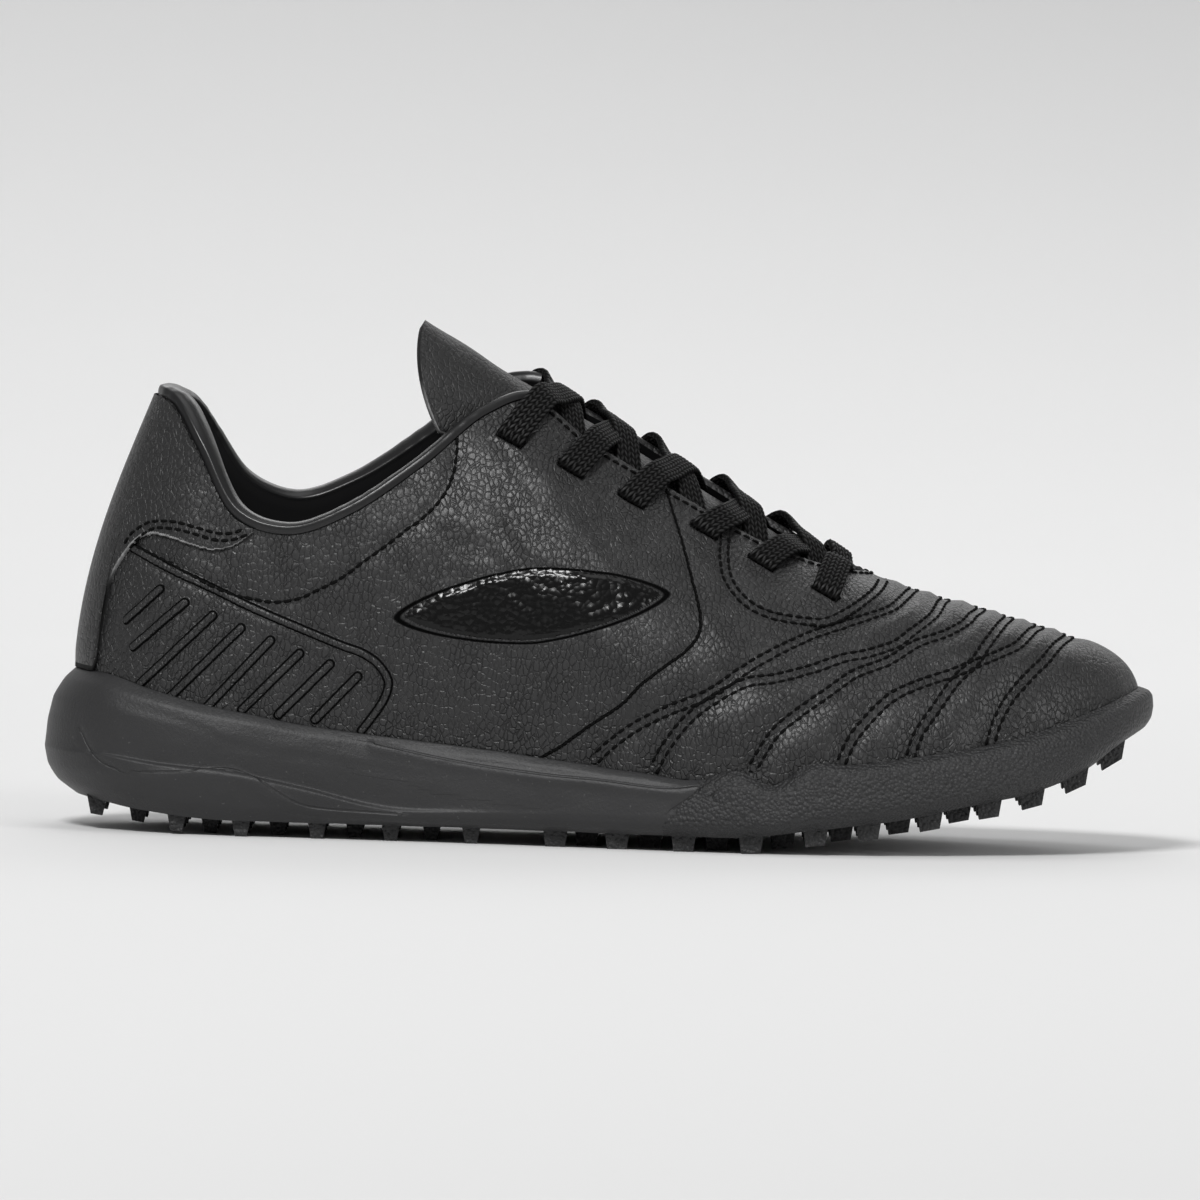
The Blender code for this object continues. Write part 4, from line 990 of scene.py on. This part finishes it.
# Soft unevenness of the lasted leather, and wrinkles where it bends
x, y, z = (upperGrid[:, :, k] for k in range(3))
height += 0.12 * mm * np.sin(x * 190 + np.sin(z * 130) * 1.7) * np.sin(z * 210 + y * 70 + 1.3)
height += 0.07 * mm * np.sin(x * 410 + z * 260 + np.sin(y * 160) * 2.0)
ankle = np.exp(-(((x + 0.015) / 0.035) ** 2) - (((z - 0.078) / 0.02) ** 2))
height += 0.16 * mm * ankle * np.sin((x * 0.8 + z) * 620 + np.sin(x * 260) * 1.5)
height *= ease(1.0, 0.97, levelShares)[:, None]
upperSkin = upperGrid + upperNormals * height[:, :, None]
skinNormals = gridNormals(upperSkin, True)
say("upper relief")


def cutColumns(name, first, last, stride, stands=()):
    columns = np.arange(first, last + 1, stride) % stationCount
    mesh = gridMesh(name, upperSkin[:, columns], False)
    mesh.normals_split_custom_set_from_vertices(skinNormals[:, columns].reshape(-1, 3).tolist())
    for field, values in (("seam", seamField), ("band", bandField), ("inlay", inlayField)):
        addField(mesh, field, values[:, columns] / mm)
    addPiece(name, mesh, [leather, inlay], stands)
    finishFaces(mesh, inlayField[:-1, columns[:-1]] < 0.0)


cutA = s["rowStart"][14]
cutB = stationCount - cutA
cutColumns("upper_lateral_quarter", 0, cutA, 1, ["upper"])
cutColumns("upper_vamp", cutA, cutB, 1)
cutColumns("upper_medial_quarter", cutB, stationCount, 2 if cutA % 2 == 0 else 1)

# Inside of the upper with its padded lining, and the cut edge that joins both skins
one = np.ones(stationCount)
innerGrid = np.array([innerSide(s, w * one) for w in np.linspace(0.0, 1.0, fineness["lining"])])
innerGrid[0][:, 2] = s["base"][:, 2]
innerGrid = innerGrid[::-1, ::fineness["liningStride"]]
innerMesh = gridMesh("upper_lining", innerGrid, True)
# Depth from the collar edge, which the inside lining turns into painted shade
addField(innerMesh, "depth", np.linalg.norm(innerGrid - innerGrid[:1], axis=2) / mm)
addPiece("upper_lining", innerMesh, shadedInsideLining)

rimSteps = np.linspace(0.0, 1.0, 7)[:, None, None]
climb = unitLong(upperSkin[-1] - upperSkin[-3])[None] * np.sin(rimSteps * math.pi) * 0.35 * mm
edgeGrid = mix(upperSkin[-1][None], innerSide(s, one)[None], rimSteps) + climb
addPiece("upper_edge", gridMesh("upper_edge", edgeGrid, True), plainLeather)
say("upper")

# Collar binding: a smooth padded roll, carried a little way down inside
collar = {
    "rise": 3.5 * mm, "proud": 0.8 * mm, "seat": 0.1 * mm, "ripple": 0.05 * mm,
    "section": (  # Share across the wall, how proud it stands, share of the rise
        (0.00, -0.6, 0.00), (0.00, -1.0, 0.30), (0.00, -0.95, 0.60), (0.14, -0.2, 0.88), (0.34, 0.0, 0.99),
        (0.50, 0.0, 1.01), (0.66, 0.0, 0.99), (0.86, 0.2, 0.88), (1.00, 0.95, 0.60), (1.00, 1.0, 0.30),
    ),
    "inside": ((0.985, 0.75), (0.955, 0.50), (0.92, 0.25), (0.88, 0.05), (0.85, -0.15)),  # Level, mm proud
}
bindingReach = s["rowStart"][9]
bindingStations = np.arange(-bindingReach, bindingReach + 1) % stationCount
outerEdge = sideCurve(s, one)
innerEdge = innerSide(s, one)
away = -unitLong(np.cross(np.roll(outerEdge, -1, 0) - np.roll(outerEdge, 1, 0), outerEdge - innerEdge))
inward = innerEdge - outerEdge
bindingRings = []
for share, proud, lift in collar["section"]:
    place = outerEdge + inward * share + unitLong(inward) * proud * collar["proud"]
    bindingRings.append(place + away * (lift * collar["rise"] + collar["seat"]))
for level, proud in collar["inside"]:
    bindingRings.append(offsetSide(s, one * level, -wallAt(s, one * level) - proud * mm))
bindingGrid = smoothRows(np.array(bindingRings)[:, bindingStations], fineness["collarSteps"])
run = hopsAlong(bindingGrid[6])
ripple = collar["ripple"] * np.sin(run * 900 + np.sin(run * 170) * 3) * (0.5 + 0.5 * np.sin(run * 60))
bindingGrid -= gridNormals(bindingGrid, False) * ripple[None, :, None]
bindingMesh = gridMesh("collar_roll", bindingGrid, False)
# Depth below the inner edge, which the inside lining turns into painted shade
addField(bindingMesh, "depth", np.linalg.norm(bindingGrid - innerEdge[bindingStations], axis=2) / mm)
addPiece("collar_roll", bindingMesh, [lining, shadedInsideLining], ["collar_binding"])
innerRows = np.arange(len(bindingGrid) - 1) >= (len(collar["section"]) - 1) * fineness["collarSteps"]
finishFaces(bindingMesh, np.repeat(innerRows, len(bindingStations) - 1))
say("collar")

# Heel counter overlay with its pale cut edge
overlay = {
    "thickness": 1.0 * mm, "aboveSole": 0.004, "paleRows": 3,
    "edge": (  # Its lower edge from back to front: share of the length, share of the heel height
        (0.0449, 0.345), (0.0487, 0.416), (0.0522, 0.490), (0.0580, 0.560), (0.0657, 0.610),
        (0.0800, 0.664), (0.0932, 0.683), (0.1085, 0.681), (0.1398, 0.658), (0.1554, 0.655),
        (0.1707, 0.667), (0.1878, 0.700),
    ),
}
edgeLine = curveThrough([(alongX(a), heelHeight * b) for a, b in overlay["edge"]], 0.5 * mm)


# Lowest level of the overlay at a station: where its edge crosses the station's own curve
def counterLevel(index):
    shares = np.linspace(0.0, 1.0, 160)
    start = s["rimLevel"][index]
    point = {key: s[key][index:index + 1] for key in ("base", "rise", "shoulder", "edge")}
    track = np.array([sideCurve(point, [mix(start, 1.0, share)])[0] for share in shares])
    edgeZ = np.interp(track[:, 0], edgeLine[:, 0], edgeLine[:, 1], left=0.0, right=1.0)
    under = np.nonzero(track[:, 2] < edgeZ)[0]
    return mix(start, 1.0, shares[under[-1]] if len(under) else 0.0)


counterReach = s["rowStart"][6]
counterStations = np.arange(-counterReach, counterReach + 1)
lowLevels = np.array([counterLevel(i % stationCount) for i in counterStations])
keep = lowLevels < 0.985
counterStations = counterStations[keep] % stationCount
lowLevels = np.maximum(lowLevels[keep], s["rimLevel"][counterStations] + overlay["aboveSole"])


def counterRow(share, rise):
    level = one.copy()
    level[counterStations] = mix(lowLevels, 0.995, share)
    return offsetSide(s, level, one * rise)[counterStations]


underEdge = counterRow(0.0, 0.1 * mm)
counterRows = [
    counterRow(share, gap + overlay["thickness"] * (1.0 - 0.25 * (1.0 - ease(0.0, 0.06, share))))
    for share in np.linspace(0.0, 1.0, fineness["overlay"])
]
counterGrid = np.array([underEdge, mix(underEdge, counterRows[0], 0.5)] + counterRows)
counterTree = gridTree(counterGrid, False)
counterMesh = gridMesh("heel_overlay", counterGrid, False)
addPiece("heel_overlay", counterMesh, [plainLeather, rawEdge], ["heel_counter"])
pale = np.arange(len(counterGrid) - 1) < overlay["paleRows"]
finishFaces(counterMesh, np.repeat(pale, counterGrid.shape[1] - 1))
say("heel overlay")


# Tongue
def tongueGrid(alongSteps, acrossSteps):
    table = readTable(tongueColumns, tongueRows)
    fine = np.linspace(0, len(tongueRows) - 1, alongSteps)
    k = np.minimum(fine.astype(int), len(tongueRows) - 2)
    values = {}
    for name in tongueColumns:
        slope = np.gradient(table[name])
        values[name] = hermite(table[name][k], table[name][k + 1], slope[k], slope[k + 1], fine - k)[:, None]
    angles = np.linspace(-tongueSweep, tongueSweep, acrossSteps)[None]
    sideways = np.sin(angles) * values["half"] * throatWidth
    fall = (1.0 - np.cos(angles)) * values["drop"] * instepHeight
    aside = np.abs(angles) / tongueSweep
    x = alongX(values["along"] + values["rear"] * (3.3 * aside**3 - 2.35 * aside**2))
    y = sideShift + values["centre"] * throatWidth + sideways
    z = values["crest"] * instepHeight - fall + sideways * np.tan(np.radians(values["tilt"]))
    return np.stack(np.broadcast_arrays(x, y, z), -1)


tongueTop = tongueGrid(*fineness["tongue"])
tongueNormals = gridNormals(tongueTop, False)
tongueNormals *= np.sign(tongueNormals[:, :, 2].mean())
tongueTree = gridTree(tongueTop, False)
x, y, z = (tongueTop[:, :, k] for k in range(3))
tongueRelief = 0.15 * mm * np.sin(x * 320 + np.sin(y * 190) * 1.4) * np.sin(y * 240 + 0.6)
tongueSkin = tongueTop + tongueNormals * tongueRelief[:, :, None]
tongueUnder = tongueTop - tongueNormals * tongueThickness * 0.94
loop = np.concatenate([tongueSkin, tongueUnder[:, ::-1]], 1)
rows, count = loop.shape[:2]
half = count // 2
first, last = (rows - 1) * count, rows * count - 1
endCap = np.array([(first + i, first + i + 1, last - 1 - i, last - i) for i in range(half - 1)])
tongueMesh = quadMesh("tongue_flap", loop, np.vstack([gridFaces(rows, count, True), endCap]))
addPiece("tongue_flap", tongueMesh, [tongueLeather, rawEdge, bedCloth], ["tongue"])
columnKind = np.zeros(count)
columnKind[half:] = 2
columnKind[[half - 1, count - 1]] = 1
finishFaces(tongueMesh, np.concatenate([np.tile(columnKind, rows - 1), np.ones(len(endCap))]))
say("tongue")

# Sole skin: sculpted sides; depth, width, lip, its reach and the blur of a drawn line are in mm
soleLines = {
    "bevel": {
        "pixels": ((376, 744), (445, 759), (491, 767), (549, 775), (600, 780), (662, 788), (701, 786)),
        "lip": 0.40, "lipReach": 3.0, "blur": 0.0,
    },
    "heelCrease": {
        "pixels": ((81, 732), (88, 747), (96, 758), (106, 765), (116, 769)),
        "depth": 0.35, "width": 1.0, "blur": 0.0,
    },
    "wave": {
        "pixels": (
            (145, 771), (175, 771), (206, 769), (225, 768), (240, 771), (260, 780), (279, 792), (298, 802),
            (319, 807), (357, 810), (396, 813),
        ),
        "lip": 0.45, "lipReach": 5.0, "blur": 0.12,
    },
    "sculpt": {
        "pixels": (
            (125, 706), (160, 714), (195, 726), (237, 746), (279, 754), (330, 760), (348, 764), (400, 772),
            (430, 775),
        ),
        "depth": 0.15, "width": 0.8,
    },
    "rand": {
        "pixels": ((711, 772), (703, 784), (695, 794), (682, 803), (673, 809)),
        "depth": 0.15, "width": 0.8, "blur": 0.0,
    },
}


def onSole(points, mirror):
    places = seenOn(soleTree, soleGrid, curveThrough(points, 2.0))
    return mirrored(places, stationCount) if mirror else places


soleHeight = np.zeros(soleGrid.shape[:2])
soleField = np.full(soleGrid.shape[:2], 9 * mm)
for mirror in (False, True):
    for facts in soleLines.values():
        places = onSole(facts["pixels"], mirror)
        gapTo = distanceTo(soleGrid, pointsAt(soleGrid, places), 9 * mm, pointsAt(soleNormals, places))
        if "depth" in facts:
            soleHeight -= facts["depth"] * mm * bell(gapTo, facts["width"] * mm)
        # Lines with a blur are darkened by the sole materials as painted shade
        if "blur" in facts:
            soleField = nearer(soleField, gapTo + facts["blur"] * mm)
        if "lip" in facts:
            turned = gapTo if mirror else -gapTo
            fade = ease(facts["lipReach"] * mm, 1.0 * mm, np.abs(turned))
            soleHeight += facts["lip"] * mm * ease(-0.5 * mm, 0.5 * mm, turned) * fade
x, y, z = (soleGrid[:, :, k] for k in range(3))
soleHeight += 0.06 * mm * np.sin(x * 330 + np.sin(z * 400) * 1.2) * np.sin(z * 520 + x * 90)
soleSkin = soleGrid + soleNormals * (soleHeight + 0.12 * mm)[:, :, None]
soleSkinNormals = gridNormals(soleSkin, True)
randTop = np.interp(soleSkin[:, :, 2], [0.0072, 0.0186], [alongX(0.5575), alongX(0.594)])
isRand = (soleSkin[:, :, 0] > randTop)[:-1, :]
soleFaces = gridFaces(len(soleSkin), stationCount, True)
for name, chosen, finish, slotName, stands in (
    ("midsole_side", ~isRand, foam, "foam", ["midsole"]),
    ("forefoot_rand", isRand, rubber, "rubber", []),
):
    picked = soleFaces[chosen.ravel()]
    used, renumbered = np.unique(picked, return_inverse=True)
    mesh = quadMesh(name, soleSkin.reshape(-1, 3)[used], renumbered.reshape(-1, 4))
    mesh.normals_split_custom_set_from_vertices(soleSkinNormals.reshape(-1, 3)[used].tolist())
    addField(mesh, "line", soleField.ravel()[used] / mm)
    addPiece(name, mesh, finish, stands)

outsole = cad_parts["outsole"]
addField(outsole.data, "line", np.full(len(outsole.data.vertices), 9.0))
outsole.data.materials.clear()
outsole.data.materials.append(rubber)
rounded = outsole.modifiers.new("rounded", "BEVEL")
rounded.width = 0.35 * mm
rounded.segments = 2
rounded.limit_method = "ANGLE"
rounded.angle_limit = math.radians(40)
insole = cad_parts["insole"]
insole.data.materials.clear()
insole.data.materials.append(bedCloth)
say("sole")


# Stitches: short raised threads along the seams
stitch = {
    "pitch": 2.6 * mm, "length": 2.15 * mm, "radius": 0.44 * mm, "overlayRadius": 0.42 * mm,
    "closePitch": 1.5 * mm, "closeRadius": 0.30 * mm, "sides": 6,
    # Share of the length, share of the radius, rise in radii
    "stages": (
        (-0.5, 0.35, -0.5), (-0.36, 0.85, 0.15), (0.0, 1.0, 0.4), (0.36, 0.85, 0.15), (0.5, 0.35, -0.5),
    ),
}


def addStitches(name, tracks, pitch, length, radius):
    angles = np.linspace(0, 2 * math.pi, stitch["sides"], endpoint=False)[:, None]
    tube = gridFaces(len(stitch["stages"]), stitch["sides"], True)
    points = []
    faces = []
    for line, normals in tracks:
        hops = hopsAlong(line)
        for spot in np.arange(pitch * 0.5, hops[-1], pitch):
            centre = between(spot, hops, line)
            normal = unitLong(between(spot, hops, normals))
            way = unitLong(between(spot + length / 2, hops, line) - between(spot - length / 2, hops, line))
            ring = np.cross(normal, way) * np.cos(angles) + normal * np.sin(angles)
            faces.append(tube + len(points) * stitch["sides"])
            for along, wide, rise in stitch["stages"]:
                points.append(centre + way * along * length + normal * rise * radius + ring * wide * radius)
    addPiece(name, quadMesh(name, np.concatenate(points), np.concatenate(faces)), thread)


def seamTracks(lines):
    tracks = []
    for places, normals, aside in lines:
        if len(places) >= 4:
            line = pointsAt(upperSkin, places)
            tracks.append((sideLine(line, normals, aside) if aside else line, normals))
    return tracks


pitch, length, closePitch = stitch["pitch"], stitch["length"], stitch["closePitch"]
addStitches("upper_stitches", seamTracks(stitchLines), pitch, length, stitch["radius"])
addStitches("quarter_seam", seamTracks(closeLines), closePitch, closePitch, stitch["closeRadius"])

tracks = []
for points in counterStitch:
    for mirror in (False, True):
        line = []
        normals = []
        for px, py in curveThrough(points, 2.0):
            start, way = pixelRay(px, py)
            hit, normal, _, _ = counterTree.ray_cast(start, way)
            if hit is not None:
                line.append(np.array(hit) * (1, -1 if mirror else 1, 1) + (0, 2 * sideShift * mirror, 0))
                normals.append(np.array(normal) * (1, -1 if mirror else 1, 1))
        if mirror:
            snapped = [counterTree.find_nearest(Vector(p)) for p in line]
            line = [np.array(found[0]) for found in snapped]
            normals = [np.array(found[1]) for found in snapped]
        if len(line) > 3:
            normals = np.array(normals)
            normals *= np.sign((normals[:, 1] * (1 if mirror else -1)).mean())
            tracks.append((np.array(line), normals))
addStitches("overlay_stitches", tracks, pitch, length, stitch["overlayRadius"])
say("stitches")

# Laces: flat braided cord, over the tongue and under the far edge
lace = {
    "width": 7.5 * mm, "thickness": 1.8 * mm, "relief": 0.42 * mm, "pitch": 1.9 * mm, "columns": 7,
    "farRoom": 3.0 * mm, "topLift": 0.95, "sunk": 0.30 * mm,
}
# Where each crossing meets the near edge, the crest and the far edge, and which side lies on top
crossings = {
    1: (0.36, 0.64, 0.88, 1), 2: (0.36, 0.64, 0.88, 1), 3: (0.30, 0.58, 0.84, -1),
    4: (0.38, 0.68, 0.92, 1), 5: (0.46, 0.80, 1.00, -1),
}
# Places on the way from slot to far edge, and the rise there in thicknesses
strandPath = (
    (0.00, -0.9), (0.00, 0.3), (0.12, 0.85), (0.40, 1.15), (0.85, 1.35), (1.15, 1.45), (1.50, 1.45),
    (1.80, 1.35), (2.20, 1.35), (2.60, 1.1), (3.00, 0.7), (3.30, 0.3),
)
barPath = (
    (0.00, -0.9), (0.00, 0.3), (0.12, 0.85), (0.40, 1.2), (0.85, 1.6), (1.20, 1.7), (1.60, 1.7), (2.00, 1.7),
)
crestLine = sideShift + 0.08 * throatWidth
halfRound = int(s["rowStart"][20])
throatStations = {
    -1: np.arange(0, halfRound + 1),
    1: np.arange(stationCount, halfRound - 1, -1) % stationCount,
}


def throatEdge(side, x):
    track = s["edge"][throatStations[side]]
    lean = upperNormals[-2][throatStations[side]]
    return between(x, track[:, 0], track), unitLong(between(x, track[:, 0], lean))


def onTongue(x, y):
    hit, normal, _, _ = tongueTree.ray_cast(Vector((x, y, 0.3)), Vector((0, 0, -1)))
    if hit is None:
        hit, normal, _, _ = tongueTree.find_nearest(Vector((x, y, 0.095)))
    return np.array(hit), np.array(normal) * (1 if normal[2] > 0 else -1)


# Slot, near edge, crest of the tongue and a place by the far edge, with their normals
def strandAnchors(side, own):
    centre, way, normal = slotFrame(side, own)
    nearShare, crestShare, farShare, _ = crossings[own]
    start, end = alongX(slotRows[own][0]), alongX(slotRows[own - 1][0])
    near = throatEdge(side, mix(start, end, nearShare))
    crest = onTongue(mix(start, end, crestShare), crestLine)
    stop, _ = throatEdge(-side, mix(start, end, farShare))
    beside = onTongue(stop[0], stop[1] + side * lace["farRoom"])
    return [(centre, normal), near, crest, beside], way


def barAnchors(side):
    centre, way, normal = slotFrame(side, 0)
    near = throatEdge(side, centre[0] + 2.7 * mm)
    return [(centre, normal), near, onTongue(centre[0] + 3.4 * mm, crestLine)], way


# Middle points and normals of a strand; lift raises it where it crosses another
def strandLine(path, anchors, lift):
    points = []
    normals = []
    for place, rise in path:
        k = min(int(place), len(anchors) - 2)
        share = place - k
        (a, lean), (b, nextLean) = anchors[k], anchors[k + 1]
        spot = mix(a, b, share)
        normal = mix(lean, nextLean, share)
        if k >= 1:
            startGap = a[2] - onTongue(a[0], a[1])[0][2]
            endGap = b[2] - onTongue(b[0], b[1])[0][2]
            spot, here = onTongue(spot[0], spot[1])
            spot[2] += endGap * min(share, 1.0) + startGap * max(0.0, 1.0 - share) ** 2.5
            normal = mix(lean, here, min(share, 1.0))
        elif place > 0.0:
            spot = np.array(upperTree.find_nearest(Vector(spot))[0])
        normal = unitLong(normal)
        rise += lift * max(0.0, 1.0 - abs(place - 2.0) / 1.1)
        points.append(spot + normal * rise * lace["thickness"])
        normals.append(normal)
    return np.array(points), np.array(normals)


# One mesh for several flat braided bands
def bandMesh(name, strands):
    points, faces, marks = [], [], []
    first = 0
    step = fineness["laceStep"] * mm
    across = np.linspace(-1.0, 1.0, fineness["laceAcross"])
    column = across * lace["columns"] / 2
    lane = np.floor(column + 0.5)
    inside = column - lane
    lean = np.where(lane.astype(int) % 2 == 0, 1.0, -1.0)
    ridge = np.sqrt(np.clip(1.0 - (inside * 1.7) ** 2, 0.0, 1.0))
    squash = np.sqrt(np.clip(1.0 - np.abs(across) ** 5, 0.0, 1.0))
    body = lace["thickness"] / 2 * (0.35 + 0.65 * squash) - lace["sunk"]
    for keyPoints, normals, way in strands:
        dense = curveThrough(keyPoints, 0.2 * mm)
        hops = hopsAlong(dense)
        keyHops = np.array([hops[np.argmin(((dense - p) ** 2).sum(1))] for p in keyPoints])
        count = int(hops[-1] / step)
        spots = np.linspace(0, hops[-1], count)
        centres = between(spots, hops, dense)
        ups = between(spots, keyHops, normals)
        kernel = np.hanning(int(3.0 * mm / step) * 2 + 3)
        kernel /= kernel.sum()
        pad = len(kernel) // 2
        ups = np.stack([np.convolve(np.pad(ups[:, k], pad, "edge"), kernel, "valid") for k in range(3)], 1)
        run = unitLong(np.gradient(centres, axis=0))
        level = unitLong(np.cross(ups, run))
        level *= np.sign(level[count // 2].dot(way)) or 1.0
        wide = mix(way[None], level, ease(0.5 * mm, 6.0 * mm, spots)[:, None])
        wide = unitLong(wide - run * (wide * run).sum(1)[:, None])
        thick = np.cross(run, wide)
        thick *= np.sign((thick * ups).sum(1))[:, None]
        weave = np.abs(np.sin(math.pi * (spots[:, None] / lace["pitch"] + lean * inside * 0.9)))
        braid = ridge * (0.25 + 0.75 * weave)
        flat = centres[:, None] + wide[:, None] * (across * lace["width"] / 2)[:, None]
        rise = thick[:, None] * (body + lace["relief"] * braid)[:, :, None]
        loop = np.concatenate([flat + rise, (flat - rise)[:, ::-1]], 1)
        marks.append(np.concatenate([braid, braid[:, ::-1]], 1).ravel())
        points.append(loop.reshape(-1, 3))
        faces.append(gridFaces(count, loop.shape[1], True) + first)
        first += count * loop.shape[1]
    mesh = quadMesh(name, np.concatenate(points), np.concatenate(faces))
    addField(mesh, "weave", np.concatenate(marks))
    return mesh


for own in range(1, len(slotRows)):
    strands = []
    for side in (-1, 1):
        anchors, way = strandAnchors(side, own)
        lift = lace["topLift"] if crossings[own][3] == side else 0.0
        strands.append((*strandLine(strandPath, anchors, lift), way))
    name = f"lace_cross_{own}"
    addPiece(name, bandMesh(name, strands), cord, [f"lace_crossing_{own}"])
outerAnchors, outerWay = barAnchors(-1)
outer = strandLine(barPath, outerAnchors, 0.0)
inner = strandLine(barPath, barAnchors(1)[0], 0.0)
joined = (np.vstack([outer[0], inner[0][-2::-1]]), np.vstack([outer[1], inner[1][-2::-1]]), outerWay)
addPiece("lace_toe_bar", bandMesh("lace_toe_bar", [joined]), cord, ["lace_bar"])
say("laces")


# Studio: pale sweep, soft lights
def sweepMesh(reach):
    profile = [(-reach, 0.0), (1.2, 0.0)]
    profile += [(1.2 + 1.6 * math.sin(a), 1.6 - 1.6 * math.cos(a)) for a in np.linspace(0.1, math.pi / 2, 16)]
    profile += [(2.8, 6.0)]
    grid = np.array([[(x, y, z) for x in (-reach, reach)] for y, z in profile])
    return gridMesh("studio_sweep", grid, False)


sweep = bpy.data.objects.new("studio_sweep", sweepMesh(6.0))
bpy.context.scene.collection.objects.link(sweep)
sweepShadedPaint, tree, shader = newMaterial("studio_shaded_paint", grey(0.7), 0.9)
parts = tree.nodes.new("ShaderNodeSeparateXYZ")
tree.links.new(placeOf(tree), parts.inputs[0])
# Painted shade: the sweep is darker towards the front, where the front lamp lights it most, and paler at the
# back
paintWith(tree, shader, softStep(tree, parts.outputs["Y"], -2.2, 1.5), grey(0.97), grey(0.40))
sweep.data.materials.append(sweepShadedPaint)

lights = {
    "overhead": {"place": (0.1, 0.1, 1.8), "aim": (0.0, 0.0, 0.05), "size": (1.4, 0.8), "power": 4},
    "front": {"place": (-0.6, -1.8, 1.8), "aim": (0.0, 0.0, 0.06), "size": (0.6, 0.5), "power": 48},
    "toe_side": {"place": (1.7, -1.0, 0.7), "aim": (0.05, 0.0, 0.06), "size": (0.5, 0.8), "power": 10},
    "rear": {"place": (0.2, 1.6, 1.1), "aim": (0.0, 0.0, 0.08), "size": (1.8, 0.6), "power": 6},
}
for name, facts in lights.items():
    data = bpy.data.lights.new(name, "AREA")
    data.shape = "RECTANGLE"
    data.size, data.size_y = facts["size"]
    data.energy = facts["power"]
    lamp = bpy.data.objects.new(name, data)
    bpy.context.scene.collection.objects.link(lamp)
    lamp.location = facts["place"]
    aim = Vector(facts["aim"]) - Vector(facts["place"])
    lamp.rotation_euler = aim.to_track_quat("-Z", "Y").to_euler()
world = bpy.data.worlds.new("studio_world")
bpy.context.scene.world = world
world.use_nodes = True
sky = world.node_tree.nodes["Background"]
sky.inputs["Color"].default_value = (1.0, 1.0, 1.0, 1.0)
sky.inputs["Strength"].default_value = 0.30
say("studio")
